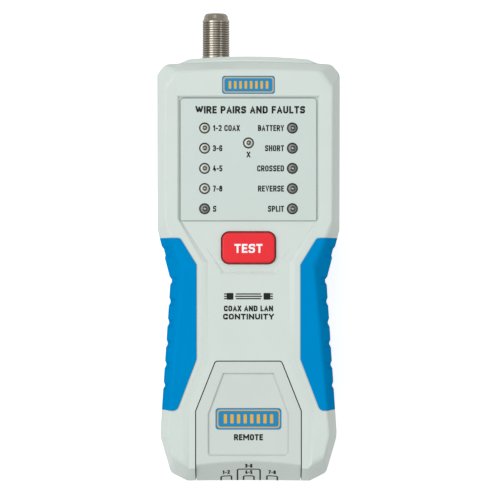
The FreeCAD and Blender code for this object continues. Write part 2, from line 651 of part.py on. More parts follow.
def make_grips(zones, bed):
    sleeve = cut("grip_sleeve", envelope("grip_surface", "0", top="thickness + grip_proud"), bed)
    ribs = [(f"rib_first_y + {place} * rib_pitch", "rib_width")
            for place in range(int(number("rib_count")))]
    ribs.append(("top_rib_y", "top_rib_width"))
    steps = [("rib_flank", envelope("rib_shoulder", "rib_depth / 2", rounded=False)),
             ("0", envelope("rib_bottom", "rib_depth", rounded=False))]
    for name, zone in zones.items():
        sides = ("leaf_half", "2 * arm_half") if name == "right" else ("-2 * arm_half", "-leaf_half")
        grooves = []
        for step, (spread, bottom) in enumerate(steps):
            slabs = fuse(f"{name}_slabs{step}", *[
                block(f"{name}_slab{step}_{place}", sides,
                      (f"{low} - {spread}", f"{low} + {width} + {spread}"),
                      ("rib_low_z", "thickness - rib_margin"))
                for place, (low, width) in enumerate(ribs)])
            grooves.append(cut(f"{name}_grooves{step}", slabs, bottom))
        finish(cut(f"{name}_grip_solid", common(f"{name}_sleeve", sleeve, zone), *grooves),
               f"{name}_grip")


# ---------------------------------------------------------------- front pieces


def make_label():
    middle = "(label_low_y + label_high_y) / 2"
    body = new_body("label_body")
    sketch = sketch_in(body, "label_outline", lift=FLOOR_Z)
    draw(sketch, rectangle("label_half", "(label_high_y - label_low_y) / 2", middle))
    pad(body, "label_pad", sketch, "label_thick")
    top = number("label_high_y")
    round_edges(body, "label_corners", "label_corner",
                lambda edge: upright(edge) and edge.BoundBox.YMax > top - 1e-3)
    holes = [rod(f"{label}_label_hole", x, y, f"{FLOOR_Z} - 1", "lamp_radius + lamp_gap", "3")
             for label, (x, y) in lamp_places().items()]
    finish(cut("label_solid", body, *holes), "label_plate")


BUTTON_Z = f"({FLOOR_Z} + button_proud)"
FLANGE_Z = f"({INNER_Z} - button_play - button_flange_thick)"
PLUNGER_Z = f"({BOARD_Z} + switch_height + switch_travel)"


def make_button():
    body = new_body("button_body")
    cap = sketch_in(body, "cap_outline", lift=FLANGE_Z)
    draw(cap, rectangle("button_half_width", "button_half_height", "button_y"))
    pad(body, "cap", cap, f"{BUTTON_Z} - {FLANGE_Z}")
    round_edges(body, "cap_corners", "button_corner", upright)
    round_edges(body, "cap_crown", "button_round", at_height(number(BUTTON_Z)))
    flange = block("button_flange_block",
                   (minus("button_half_width + button_flange"), "button_half_width + button_flange"),
                   ("button_y - button_half_height - button_flange",
                    "button_y + button_half_height + button_flange"),
                   (FLANGE_Z, f"{FLANGE_Z} + button_flange_thick"))
    hollow = block("button_hollow",
                   (minus("button_half_width - button_wall"), "button_half_width - button_wall"),
                   ("button_y - button_half_height + button_wall",
                    "button_y + button_half_height - button_wall"),
                   (f"{FLANGE_Z} - 1", f"{BUTTON_Z} - button_wall"))
    post = rod("button_post_rod", "0", "button_y", PLUNGER_Z, "button_post",
               f"{BUTTON_Z} - button_wall + bite - {PLUNGER_Z}")
    shell = cut("button_shell", fuse("button_block", body, flange), hollow)
    finish(fuse("button_solid", shell, post), "test_button")


def make_switch():
    half = "switch_side / 2"
    top = f"({BOARD_Z} + switch_height)"
    base = block("switch_block", (minus(half), half), (f"button_y - {half}", f"button_y + {half}"),
                 (BOARD_Z, top))
    bore = rod("switch_bore", "0", "button_y", f"{top} - switch_travel - 2 * switch_seat",
               "switch_plunger + switch_gap", "switch_travel + 2 * switch_seat + 1")
    finish(cut("switch_solid", base, bore), "switch_body")
    plunger = rod("plunger_rod", "0", "button_y", f"{top} - switch_seat", "switch_plunger",
                  "switch_travel + switch_seat")
    finish(group("plunger_piece", plunger), "switch_plunger")


def make_lamps():
    base = f"({BOARD_Z} + lamp_stand)"
    for label, (x, y) in lamp_places().items():
        flange = rod(f"{label}_flange", x, y, base, "lamp_flange", "lamp_flange_thick")
        barrel = rod(f"{label}_barrel", x, y, base, "lamp_radius", "lamp_height - lamp_radius")
        dome = doc.addObject("Part::Sphere", f"{label}_dome")
        bind(dome, Radius="lamp_radius", Placement__Base__x=x, Placement__Base__y=y,
             Placement__Base__z=f"{base} + lamp_height - lamp_radius")
        legs = [block(f"{label}_leg_{name}",
                      (f"{x} + {side} * lamp_leg_pitch / 2 - lamp_leg / 2",
                       f"{x} + {side} * lamp_leg_pitch / 2 + lamp_leg / 2"),
                      (f"{y} - lamp_leg / 2", f"{y} + lamp_leg / 2"), (BOARD_Z, f"{base} + bite / 2"))
                for name, side in (("right", 1), ("left", -1))]
        finish(fuse(f"{label}_solid", flange, barrel, dome, *legs), label)


def make_board():
    board = block("board_block", (minus("board_half"), "board_half"),
                  ("board_low_y", "board_high_y"), (BOARD_LOW_Z, BOARD_Z))
    holes = [rod(f"board_hole{place}", x, y, f"{BOARD_LOW_Z} - 1", "board_screw + head_gap",
                 "board_thick + 2")
             for place, (x, y) in enumerate(board_screw_places())]
    finish(cut("board_solid", board, *holes), "main_board")
    chip = block("chip_block", (minus("chip_half_width"), "chip_half_width"),
                 ("chip_y - chip_half_height", "chip_y + chip_half_height"),
                 (f"{BOARD_LOW_Z} - chip_thick", BOARD_LOW_Z))
    finish(group("chip_piece", chip), "controller_chip")


# ---------------------------------------------------------------- sockets


def make_socket(prefix, x, mouth_y, z, turn):
    """A socket for a network plug, with its mouth at local Y = 0 and its body behind."""
    half, rise = "socket_width / 2", "socket_height / 2"
    top = f"({rise} - plug_drop)"
    low = f"({top} - plug_height)"
    shell = block(f"{prefix}_block", (minus(half), half), ("-socket_depth", "0"),
                  (minus(rise), rise))
    mouth = block(f"{prefix}_mouth", ("-plug_width / 2", "plug_width / 2"), ("-plug_depth", "1"),
                  (low, top))
    latch = block(f"{prefix}_latch", ("-latch_width / 2", "latch_width / 2"),
                  ("-plug_depth", "1"), (f"{low} - latch_height", f"{low} + 1"))
    slot = block(f"{prefix}_slot", ("-latch_slot_width / 2", "latch_slot_width / 2"),
                 ("-plug_depth / 2", "1"),
                 (f"{low} - latch_height - latch_slot_height", f"{low} + 1"))
    finish(cut(f"{prefix}_housing_solid", shell, mouth, latch, slot), f"{prefix}_housing",
           x, mouth_y, z, turn)
    wires = []
    for place in range(8):
        wire = doc.addObject("Part::Extrusion", f"{prefix}_wire{place}")
        outline = doc.addObject("Sketcher::SketchObject", f"{prefix}_wire{place}_outline")
        outline.Placement.Rotation = FreeCAD.Rotation(FreeCAD.Vector(1, 1, 1), 120)
        bind(outline, Placement__Base__x=f"({place} - 3.5) * contact_pitch - contact_width / 2")
        draw(outline, [
            ("-plug_depth", f"{top} - contact_thick"), ("-plug_depth + contact_reach / 2",
             f"{top} - contact_thick"), ("-plug_depth + contact_reach", f"{top} - contact_drop"),
            ("-plug_depth + contact_reach + contact_thick", f"{top} - contact_drop"),
            ("-plug_depth + contact_reach / 2 + contact_thick", top), ("-plug_depth", top)])
        wire.Base = outline
        wire.DirMode = "Custom"
        wire.Dir = FreeCAD.Vector(1, 0, 0)
        wire.Solid = True
        bind(wire, LengthFwd="contact_width")
        wires.append(wire)
    finish(group(f"{prefix}_wires", *wires), f"{prefix}_contacts", x, mouth_y, z, turn)


def make_coax(prefix, x, z, wall_y, face_y, reach, turns):
    """A threaded coaxial socket along Y: flange behind the wall, nose beyond its face."""
    flange_y = f"({wall_y} - coax_flange_thick)"
    tip = f"({face_y} + {reach})"
    tail = f"({flange_y} - coax_tail)"
    body = new_body(f"{prefix}_body_piece")
    profile = sketch_in(body, f"{prefix}_profile", "YZ_Plane")
    draw(profile, [
        (tail, "coax_bore"), (tip, "coax_bore"), (tip, "coax_nose_radius"),
        (f"{tip} - coax_nose_round", "coax_nose_radius + 0.8 * coax_nose_round"),
        (f"{tip} - coax_shoulder_length", "coax_shoulder_radius"),
        (f"{tip} - coax_nose_length", "thread_radius"), (face_y, "thread_radius"),
        (face_y, "coax_neck_radius"), (f"{flange_y} + bite", "coax_neck_radius"),
        (f"{flange_y} + bite", "coax_tail_radius"), (tail, "coax_tail_radius")])
    revolve(body, f"{prefix}_barrel", profile)
    half = "coax_flats / 2"
    corner = f"{half} / cos(30)"
    hexagon = sketch_in(body, f"{prefix}_hexagon", "XZ_Plane", f"-{wall_y}")
    draw(hexagon, [(minus(f"{corner} / 2"), minus(half)), (f"{corner} / 2", minus(half)),
                   (corner, "0"), (f"{corner} / 2", half), (minus(f"{corner} / 2"), half),
                   (minus(corner), "0")])
    circle(hexagon, "coax_tail_radius - 0.1")
    pad(body, f"{prefix}_flange", hexagon, "coax_flange_thick")
    groove = sketch_in(body, f"{prefix}_groove", "YZ_Plane")
    start = f"{face_y} + thread_start"
    valley = "(thread_pitch - thread_land)"
    draw(groove, [(start, "thread_radius + 0.05"),
                  (f"{start} + {valley} / 2 - thread_root / 2", "thread_radius - thread_depth"),
                  (f"{start} + {valley} / 2 + thread_root / 2", "thread_radius - thread_depth"),
                  (f"{start} + {valley}", "thread_radius + 0.05")])
    ring = revolve(body, f"{prefix}_first_groove", groove, "PartDesign::Groove")
    thread = body.newObject("PartDesign::LinearPattern", f"{prefix}_thread")
    thread.Originals = [ring]
    thread.Direction = (groove, ["H_Axis"])
    bind(thread, Length=f"({turns} - 1) * thread_pitch", Occurrences=turns)
    body.Tip = thread
    doc.recompute()
    finish(body, f"{prefix}_body", x, z=z)
    inner_tip = f"({tip} - coax_recess)"
    ring_length = f"{inner_tip} - {tail}"
    insulator = rod(f"{prefix}_insulator_rod", "0", tail, "0", "coax_bore", ring_length, "y")
    hole = rod(f"{prefix}_insulator_hole", "0", f"{tail} - 1", "0", "coax_pin",
               f"{ring_length} - coax_recess + 1", "y")
    entry = rod(f"{prefix}_entry", "0", f"{tail} - 1", "0", "coax_pin_bore",
                f"{ring_length} + 2", "y")
    finish(cut(f"{prefix}_insulator_solid", insulator, hole, entry), f"{prefix}_insulator",
           x, z=z)
    tube = rod(f"{prefix}_pin_rod", "0", f"{tail} - coax_lead", "0", "coax_pin",
               f"{ring_length} - coax_recess + coax_lead", "y")
    bore = rod(f"{prefix}_pin_bore_rod", "0", f"{inner_tip} - coax_recess - 8", "0",
               "coax_pin_bore", "9", "y")
    return cut(f"{prefix}_pin", tube, bore), f"{tail} - coax_lead"


def circle(sketch, radius):
    place = sketch.addGeometry(
        Part.Circle(FreeCAD.Vector(0, 0, 0), FreeCAD.Vector(0, 0, 1), number(radius)), False)
    sketch.addConstraint(Sketcher.Constraint("Coincident", place, 3, -1, 1))
    rule = sketch.addConstraint(Sketcher.Constraint("Radius", place, number(radius)))
    sketch.setExpression(f"Constraints[{rule}]", bound(radius))


COAX_WALL_Y = "(crown_y + crown_rise / 2 - wall)"
SADDLE_Y = f"({COAX_WALL_Y} - coax_flange_thick)"
REMOTE_COAX_WALL_Y = "(remote_top_y - remote_wall)"
BAY_HIGH_Y = "(battery_low_y + battery_length + terminal_height + snap_thick + bay_spare)"
DOOR_LOW_Y = "(battery_low_y - battery_gap - bay_wall / 2 - door_margin)"
DOOR_HIGH_Y = f"({BAY_HIGH_Y} + door_margin)"


def make_sockets():
    make_socket("rj45_jack", "socket_x", SOCKET_MOUTH_Y, AXIS_Z, 0)
    pin, lead_y = make_coax("f_jack", "coax_x", AXIS_Z, COAX_WALL_Y, "pad_crown_y", "coax_reach",
                            "thread_turns")
    lead = rod("f_jack_lead", "0", f"{lead_y} + 2 * coax_lead_radius", "0", "coax_lead_radius",
               f"{BOARD_LOW_Z} - {AXIS_Z}")
    finish(fuse("f_jack_contact_solid", pin, lead), "f_jack_contact", "coax_x", z=AXIS_Z)


# ---------------------------------------------------------------- battery and screws


def make_battery():
    low = "(wall + battery_lift)"
    middle = f"({low} + battery_thick / 2)"
    end_y = "(battery_low_y + battery_length)"
    body = new_body("battery_piece")
    sketch = sketch_in(body, "battery_section", "XZ_Plane", "-battery_low_y - battery_length")
    draw(sketch, [(minus("battery_half"), low), ("battery_half", low),
                  ("battery_half", f"{low} + battery_thick"),
                  (minus("battery_half"), f"{low} + battery_thick")])
    pad(body, "battery_can", sketch, "battery_length")
    round_edges(body, "battery_edges", "battery_round",
                lambda edge: edge.BoundBox.YLength > number("battery_length") - 1e-3)
    studs = [rod(f"battery_stud_{name}", f"{side} * terminal_spread", f"{end_y} - bite", middle,
                 "terminal_radius", "terminal_height + bite", "y")
             for name, side in (("right", 1), ("left", -1))]
    finish(fuse("battery_solid", body, *studs), "battery")
    snap_y = f"({end_y} + terminal_height)"
    snap = block("snap_block", (minus("snap_half_width"), "snap_half_width"),
                 (snap_y, f"{snap_y} + snap_thick"),
                 (f"{middle} - snap_half_height", f"{middle} + snap_half_height"))
    finish(group("snap_piece", snap), "battery_snap")
    for label, side in (("red_lead", 1), ("black_lead", -1)):
        make_lead(label, f"{side} * lead_x", f"{snap_y} + snap_thick", f"{middle} + lead_rise")


def make_lead(label, x, y, z):
    """A wire that leaves the snap level, bends up and ends on the board."""
    body = new_body(f"{label}_piece")
    path = sketch_in(body, f"{label}_path", "YZ_Plane", x)
    bend_y = f"({y} + lead_run)"
    draw(path, [(y, z), (bend_y, z), (f"{bend_y} + lead_bend", f"{z} + lead_bend"),
                (f"{bend_y} + lead_bend", BOARD_LOW_Z)], {1: "lead_bend"}, closed=False)
    section = sketch_in(body, f"{label}_section", "XZ_Plane", minus(y))
    place = section.addGeometry(
        Part.Circle(FreeCAD.Vector(number(x), number(z), 0), FreeCAD.Vector(0, 0, 1),
                    number("lead_radius")), False)
    for kind, formula in (("DistanceX", x), ("DistanceY", z)):
        rule = section.addConstraint(Sketcher.Constraint(kind, place, 3, number(formula)))
        section.setExpression(f"Constraints[{rule}]", bound(formula))
    rule = section.addConstraint(Sketcher.Constraint("Radius", place, number("lead_radius")))
    section.setExpression(f"Constraints[{rule}]", bound("lead_radius"))
    pipe = body.newObject("PartDesign::AdditivePipe", f"{label}_pipe")
    pipe.Profile = section
    pipe.Spine = path
    doc.recompute()
    finish(body, label)


def make_door():
    hinge_y = f"{DOOR_LOW_Y} + door_thick / 2"
    plate = block("door_plate", ("-door_half", "door_half"), (hinge_y, DOOR_HIGH_Y),
                  ("0", "door_thick"))
    bead = rod("door_bead", "-door_half", hinge_y, "door_thick / 2", "door_thick / 2",
               "2 * door_half", along="x")
    tabs = [block(f"door_tab_{name}", (f"{side} * tab_x - tab_half", f"{side} * tab_x + tab_half"),
                  (f"{DOOR_LOW_Y} - tab_length", hinge_y),
                  ("door_thick - tab_thick", "door_thick"))
            for name, side in (("right", 1), ("left", -1))]
    tongue = block("door_tongue", ("-tongue_half", "tongue_half"),
                   (f"{BAY_HIGH_Y} - tongue_gap - tongue_thick", f"{BAY_HIGH_Y} - tongue_gap"),
                   ("door_thick - bite", "door_thick + tongue_height"))
    thumb = rod("door_thumb", "0", f"{DOOR_HIGH_Y} - 1.5 * thumb_radius", "-1", "thumb_radius",
                "1 + thumb_depth")
    whole = fuse("door_block", plate, bead, tongue, *tabs)
    finish(cut("door_solid", whole, thumb), "battery_door")


def screw(name, x, y, z, radius, length, head, head_thick):
    """A pan-head screw that points up, its head's underside at z."""
    shank = rod(f"{name}_shank", x, y, f"{z} - {head_thick} / 2", radius,
                f"{length} + {head_thick} / 2")
    cap = rod(f"{name}_head", x, y, f"{z} - {head_thick}", head, head_thick)
    turned = cut(f"{name}_cap", cap, *[
        block(f"{name}_recess{place}", (f"{x} - {wide}", f"{x} + {wide}"),
              (f"{y} - {tall}", f"{y} + {tall}"), (f"{z} - {head_thick} - 1", f"{z} - {head_thick} / 2"))
        for place, (wide, tall) in enumerate(((f"{head} / 2", f"{head} / 8"),
                                              (f"{head} / 8", f"{head} / 2")))])
    return fuse(name, shank, turned)


def make_screws():
    finish(group("case_screw_group", *[
        screw(f"case_screw{place}", x, y, "case_screw_sink", "case_screw", "case_screw_length",
              "case_screw_head", "case_screw_head_thick")
        for place, (x, y) in enumerate(case_screw_places())]), "case_screws")
    finish(group("board_screw_group", *[
        screw(f"board_screw{place}", x, y, BOARD_LOW_Z, "board_screw", "board_screw_length",
              "board_screw_head", "board_screw_head_thick")
        for place, (x, y) in enumerate(board_screw_places())]), "board_screws")


# ---------------------------------------------------------------- remote


def make_remote():
    outline, arcs = remote_outline("0", REMOTE_FOOT_Y)
    inner, inner_arcs = remote_outline("-remote_wall", f"{REMOTE_FOOT_Y} + remote_wall",
                                       "remote_corner / 2")
    solid = prism("remote_block", outline, "remote_low_z", FLOOR_Z, arcs)
    rails = [block(f"remote_rail_{name}",
                   (f"{side} * remote_half + ({side} - 1) / 2 * rail_out - ({side} + 1) / 2 * bite",
                    f"{side} * remote_half + ({side} + 1) / 2 * rail_out - ({side} - 1) / 2 * bite"),
                   ("rail_start", "rail_start + rail_length"),
                   ("rail_low_z", "rail_low_z + rail_thick"))
             for name, side in (("right", 1), ("left", -1))]
    inner_top = f"({FLOOR_Z} - panel_depth - remote_wall)"
    cavity = prism("remote_cavity", inner, "remote_low_z + remote_wall", inner_top, inner_arcs)
    slope = bevel_wedge("remote_bevel", "0")
    slope_inside = bevel_wedge("remote_inner_bevel", "remote_wall * 1.4")
    hollow = cut("remote_hollow", cavity, slope_inside)
    shell = cut("remote_shell", fuse("remote_with_rails", solid, *rails), hollow, slope)
    bosses, holes, sinks = [], [], []
    for name, side in (("right", 1), ("left", -1)):
        x = f"{side} * remote_screw_x"
        bosses.append(rod(f"remote_boss_{name}", x, "remote_screw_y",
                          "remote_low_z + remote_wall - bite", "remote_boss",
                          f"{inner_top} + 2 * bite - remote_low_z - remote_wall"))
        holes.append(rod(f"remote_hole_{name}", x, "remote_screw_y", "remote_low_z - 1",
                         "remote_screw + screw_gap",
                         "remote_screw_sink + remote_screw_length + 2"))
        sinks.append(rod(f"remote_sink_{name}", x, "remote_screw_y", "remote_low_z - 1",
                         "remote_screw_head + head_gap", "remote_screw_sink + 1"))
    flange_back = f"({REMOTE_COAX_WALL_Y} - coax_flange_thick)"
    saddle = block("remote_saddle", ("-coax_flats / 2", "coax_flats / 2"),
                   (f"{flange_back} - saddle_thick", flange_back),
                   ("remote_low_z + remote_wall - bite", REMOTE_AXIS_Z))
    whole = fuse("remote_with_bosses", shell, saddle, *bosses)
    openings = [
        socket_hole("remote_socket_hole", "0", "-5", "remote_wall * 3", REMOTE_AXIS_Z),
        coax_place("remote_coax_hole", "remote_top_y - 2 * remote_wall", "remote_top_y + 5",
                   "thread_radius + coax_gap", "0", REMOTE_AXIS_Z),
        coax_place("remote_saddle_hole", f"{flange_back} - 5", f"{flange_back} + 1",
                   "coax_tail_radius + coax_gap", "0", REMOTE_AXIS_Z)]
    above = block("remote_above", ("-100", "100"), ("-50", "100"), ("remote_split_z", "100"))
    below = block("remote_below", ("-100", "100"), ("-50", "100"), ("-50", "remote_split_z"))
    finish(cut("remote_rear_solid", whole, *openings, *holes, *sinks, above), "remote_rear_case")
    finish(cut("remote_front_solid", whole, *openings, *holes, below, remote_panel()),
           "remote_front_case")


def bevel_wedge(name, inset):
    """The wedge off the remote's foot, above a slope that lies an inset below its surface.

    The slope sweeps about an upright axis beyond the foot and rolls over into the front.
    """
    wedge = doc.addObject("Part::Revolution", name)
    outline = doc.addObject("Sketcher::SketchObject", f"{name}_outline")
    outline.Placement.Rotation = FreeCAD.Rotation(FreeCAD.Vector(1, 1, 1), 120)
    bind(outline, Placement__Base__y=REMOTE_FOOT_Y)
    top = f"({FLOOR_Z} - {inset})"
    rise = f"({FLOOR_Z} - remote_bevel_z)"
    roll = f"(remote_bevel_round * tan(atan({rise} / remote_bevel_y) / 2))"
    slant = f"sqrt({rise}^2 + remote_bevel_y^2)"
    draw(outline, [
        ("-remote_bevel_y", f"{top} - 2 * {rise}"),
        (f"remote_bevel_y * (1 - {roll} / {slant})", f"{top} - {rise} * {roll} / {slant}"),
        (f"remote_bevel_y + {roll}", top),
        (f"remote_bevel_y + {roll}", f"{top} + {rise}"),
        ("-remote_bevel_y", f"{top} + {rise}")], {1: "-remote_bevel_round"})
    wedge.Source = outline
    wedge.Axis = FreeCAD.Vector(0, 0, 1)
    wedge.Angle = 360
    wedge.Solid = True
    return bind(wedge, Base__y=f"{REMOTE_FOOT_Y} - remote_bevel_sweep")


def remote_panel():
    def level(spread, height):
        right = [(f"panel_half + {spread} - panel_corner", f"panel_low_y - {spread}"),
                 (f"panel_half + {spread}", f"panel_low_y - {spread} + panel_corner"),
                 (f"panel_half + {spread}", "panel_flare_y"),
                 (f"panel_top_half + {spread}", f"panel_top_y + {spread}")]
        return mirrored(right), height, {0: "panel_corner", 6: "panel_corner"}
    return loft("remote_panel", [
        level("0", f"{FLOOR_Z} - panel_depth"),
        level("2 * panel_slope", f"{FLOOR_Z} + panel_depth")])


def make_remote_inside():
    make_socket("remote_jack", "0", REMOTE_FOOT_Y, REMOTE_AXIS_Z, 180)
    board_z = f"({REMOTE_AXIS_Z} + socket_height / 2)"
    pin, lead_y = make_coax("remote_f_jack", "0", REMOTE_AXIS_Z, REMOTE_COAX_WALL_Y,
                            "remote_top_y", "remote_coax_reach", "remote_thread_turns")
    lead = rod("remote_f_jack_lead", "0", f"{lead_y} + 2 * coax_lead_radius", "0",
               "coax_lead_radius", f"{board_z} - {REMOTE_AXIS_Z}")
    finish(fuse("remote_f_jack_contact_solid", pin, lead), "remote_f_jack_contact", "0",
           z=REMOTE_AXIS_Z)
    board = block("remote_board_block", ("-remote_board_half", "remote_board_half"),
                  ("remote_board_low_y", "remote_board_high_y"),
                  (board_z, f"{board_z} + board_thick"))
    finish(group("remote_board_piece", board), "remote_board")
    resistors = []
    for column in (-1, 1):
        for row in range(4):
            resistors.append(rod(
                f"resistor{len(resistors)}", f"{column} * resistor_column - resistor_length / 2",
                f"resistor_first_y + {row} * resistor_pitch",
                f"{board_z} + board_thick + resistor_radius", "resistor_radius",
                "resistor_length", along="x"))
    finish(group("resistor_group", *resistors), "remote_resistors")
    finish(group("remote_screw_group", *[
        screw(f"remote_screw_{name}", f"{side} * remote_screw_x", "remote_screw_y",
              "remote_low_z + remote_screw_sink", "remote_screw", "remote_screw_length",
              "remote_screw_head", "remote_screw_head_thick")
        for name, side in (("right", 1), ("left", -1))]), "remote_screws")


# ---------------------------------------------------------------- build and write


make_case()
make_label()
make_button()
make_switch()
make_board()
make_lamps()
make_sockets()
make_battery()
make_door()
make_screws()
make_remote()
make_remote_inside()
doc.recompute()

for item in doc.Objects:
    if "Invalid" in item.State or "Error" in item.State:
        raise RuntimeError(f"{item.Name} ({item.Label}) failed: {item.State}")
for item in finished:
    if item.Shape.isNull() or not item.Shape.isValid():
        raise RuntimeError(f"{item.Label} has no valid shape")
os.makedirs("parts", exist_ok=True)
for item in finished:
    item.Shape.exportStep(f"parts/{item.Label}.step")
    box = item.Shape.BoundBox
    print(f"{item.Label}: {len(item.Shape.Solids)} solid, {item.Shape.Volume:.1f} mm3, "
          f"x {box.XMin:.2f}..{box.XMax:.2f} y {box.YMin:.2f}..{box.YMax:.2f} "
          f"z {box.ZMin:.2f}..{box.ZMax:.2f}")
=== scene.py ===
"""The looks of a hand-held network cable tester: finishes, printing and softened edges."""

import math

import bmesh
import bpy
from mathutils import Matrix, Vector


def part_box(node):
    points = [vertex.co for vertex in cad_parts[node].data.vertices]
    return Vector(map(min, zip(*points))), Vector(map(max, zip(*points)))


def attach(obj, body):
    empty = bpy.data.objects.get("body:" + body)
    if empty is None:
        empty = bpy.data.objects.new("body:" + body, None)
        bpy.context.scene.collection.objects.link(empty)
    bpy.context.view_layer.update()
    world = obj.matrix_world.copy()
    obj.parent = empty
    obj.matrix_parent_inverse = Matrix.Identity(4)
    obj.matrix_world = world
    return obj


MM = 0.001

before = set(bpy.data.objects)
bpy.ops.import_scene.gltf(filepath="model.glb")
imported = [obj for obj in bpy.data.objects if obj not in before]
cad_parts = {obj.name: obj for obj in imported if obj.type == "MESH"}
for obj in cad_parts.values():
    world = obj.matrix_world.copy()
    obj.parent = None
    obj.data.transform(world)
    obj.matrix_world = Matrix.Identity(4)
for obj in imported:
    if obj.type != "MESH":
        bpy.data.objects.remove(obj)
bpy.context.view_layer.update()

# ---------------------------------------------------------------- places


def middle(node):
    """The centre of a node's top side."""
    low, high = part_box(node)
    return Vector(((low[0] + high[0]) / 2, (low[1] + high[1]) / 2, high[2]))


LABEL_LOW, LABEL_HIGH = (Vector(corner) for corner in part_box("label_plate"))
FOOT_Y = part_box("front_case")[0][1]
FRONT_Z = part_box("front_case")[1][2]
CHANNEL_Z = LABEL_LOW.z
LABEL_Z = LABEL_HIGH.z
BUTTON_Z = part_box("test_button")[1][2]
REMOTE_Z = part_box("remote_front_case")[1][2]
# the sunken panel on the remote's front; its depth and the sizes of the slope below are as in
# the part's source
PANEL_DEPTH = 0.6 * MM
PANEL_Z = REMOTE_Z - PANEL_DEPTH
# the slope at the remote's foot: where it starts, how far its top edge lies from there, the
# height of its lower edge, its angle, and the radius that it sweeps about
SLOPE_FOOT_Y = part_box("remote_rear_case")[0][1]
SLOPE_LENGTH = 7.1 * MM
SLOPE_LOW_Z = 25.2 * MM
SLOPE = math.atan2(REMOTE_Z - SLOPE_LOW_Z, SLOPE_LENGTH)
SWEEP = 120 * MM


def on_front(x, y, z):
    """A place on the front: x and y in millimetres, y from the foot, z in metres."""
    return Matrix.Translation((x * MM, FOOT_Y + y * MM, z))


def on_slope(x, y):
    """Takes flat marks to a place on the remote's slope, which sweeps about an upright axis.

    y is in millimetres from the remote's foot, as seen from above.
    """
    def carried(point):
        along = y * MM + point.y * math.cos(SLOPE) - point.z * math.sin(SLOPE)
        turn = (x * MM + point.x) / (SWEEP + along)
        rise = y * MM * math.tan(SLOPE) + point.y * math.sin(SLOPE) + point.z * math.cos(SLOPE)
        return Vector((math.sin(turn) * (SWEEP + along),
                       SLOPE_FOOT_Y - SWEEP + math.cos(turn) * (SWEEP + along),
                       SLOPE_LOW_Z + rise))
    return carried

# ---------------------------------------------------------------- materials


def linear(red, green, blue):
    """A colour in linear light from its sRGB numbers out of 255."""
    channels = []
    for value in (red, green, blue):
        share = value / 255
        channels.append(share / 12.92 if share <= 0.04045 else ((share + 0.055) / 1.055) ** 2.4)
    return (*channels, 1.0)


def node_of(tree, kind, **settings):
    """A new shader node with its settings."""
    node = tree.nodes.new(kind)
    for name, value in settings.items():
        setattr(node, name, value)
    return node


# how fine the clouds are that a finish's colour varies in, the part of their range that the
# colour runs through, how far the gloss goes either way, and how high the grain's bumps are
CLOUD_SCALE = 90.0
CLOUD_SPAN = (0.3, 0.7)
GLOSS_SPREAD = 0.06
GRAIN_HEIGHT = 0.02 * MM


def grained(tree, place, strength, size):
    """The normal of a surface with a fine grain, size in millimetres a bump."""
    grit = node_of(tree, "ShaderNodeTexNoise")
    grit.inputs["Scale"].default_value = 1 / (size * MM)
    grit.inputs["Detail"].default_value = 2.0
    tree.links.new(place, grit.inputs["Vector"])
    bump = node_of(tree, "ShaderNodeBump")
    bump.inputs["Strength"].default_value = strength
    bump.inputs["Distance"].default_value = GRAIN_HEIGHT
    tree.links.new(grit.outputs["Fac"], bump.inputs["Height"])
    return bump.outputs["Normal"]


def moulded(name, colour, roughness, mottle=0.02, grain=0.2, grain_size=0.35, metallic=0.0,
            **sockets):
    """A finish whose colour and gloss vary slightly and whose surface has a fine grain.

    mottle is the colour's share that varies, grain_size the width of one bump in millimetres
    and grain the bumps' strength.
    """
    material = bpy.data.materials.new(name)
    material.use_nodes = True
    tree = material.node_tree
    shader = tree.nodes["Principled BSDF"]
    shader.inputs["Metallic"].default_value = metallic
    for socket, value in sockets.items():
        shader.inputs[socket.replace("_", " ")].default_value = value
    place = node_of(tree, "ShaderNodeTexCoord")
    cloud = node_of(tree, "ShaderNodeTexNoise")
    cloud.inputs["Scale"].default_value = CLOUD_SCALE
    cloud.inputs["Detail"].default_value = 4.0
    tree.links.new(place.outputs["Object"], cloud.inputs["Vector"])

    shades = node_of(tree, "ShaderNodeValToRGB")
    base = linear(*colour)
    for element, place_in_cloud, change in zip(shades.color_ramp.elements, CLOUD_SPAN,
                                               (1 - mottle, 1 + mottle)):
        element.position = place_in_cloud
        element.color = (*(min(value * change, 1) for value in base[:3]), 1)
    tree.links.new(cloud.outputs["Fac"], shades.inputs["Fac"])
    tree.links.new(shades.outputs["Color"], shader.inputs["Base Color"])

    gloss = node_of(tree, "ShaderNodeMapRange")
    gloss.inputs["To Min"].default_value = roughness - GLOSS_SPREAD
    gloss.inputs["To Max"].default_value = roughness + GLOSS_SPREAD
    tree.links.new(cloud.outputs["Fac"], gloss.inputs["Value"])
    tree.links.new(gloss.outputs["Result"], shader.inputs["Roughness"])

    normal = grained(tree, place.outputs["Object"], grain, grain_size)
    tree.links.new(normal, shader.inputs["Normal"])
    return material


def paint_hollow_shade(material, reach):
    """Paints shade into a finish's colour in grooves and corners narrower than a reach in
    millimetres.
    """
    tree = material.node_tree
    shader = tree.nodes["Principled BSDF"]
    link = shader.inputs["Base Color"].links[0]
    # painted shade: ambient occlusion darkens the finish's colour
    shade = node_of(tree, "ShaderNodeAmbientOcclusion", samples=12)
    shade.inputs["Distance"].default_value = reach * MM
    tree.links.new(link.from_socket, shade.inputs["Color"])
    tree.links.new(shade.outputs["Color"], shader.inputs["Base Color"])
    return material


# the upright share of a face's direction, between which a finish goes over from the colour of its
# painted shade to its own
SIDE_UPRIGHT = 0.5
FRONT_UPRIGHT = 0.95


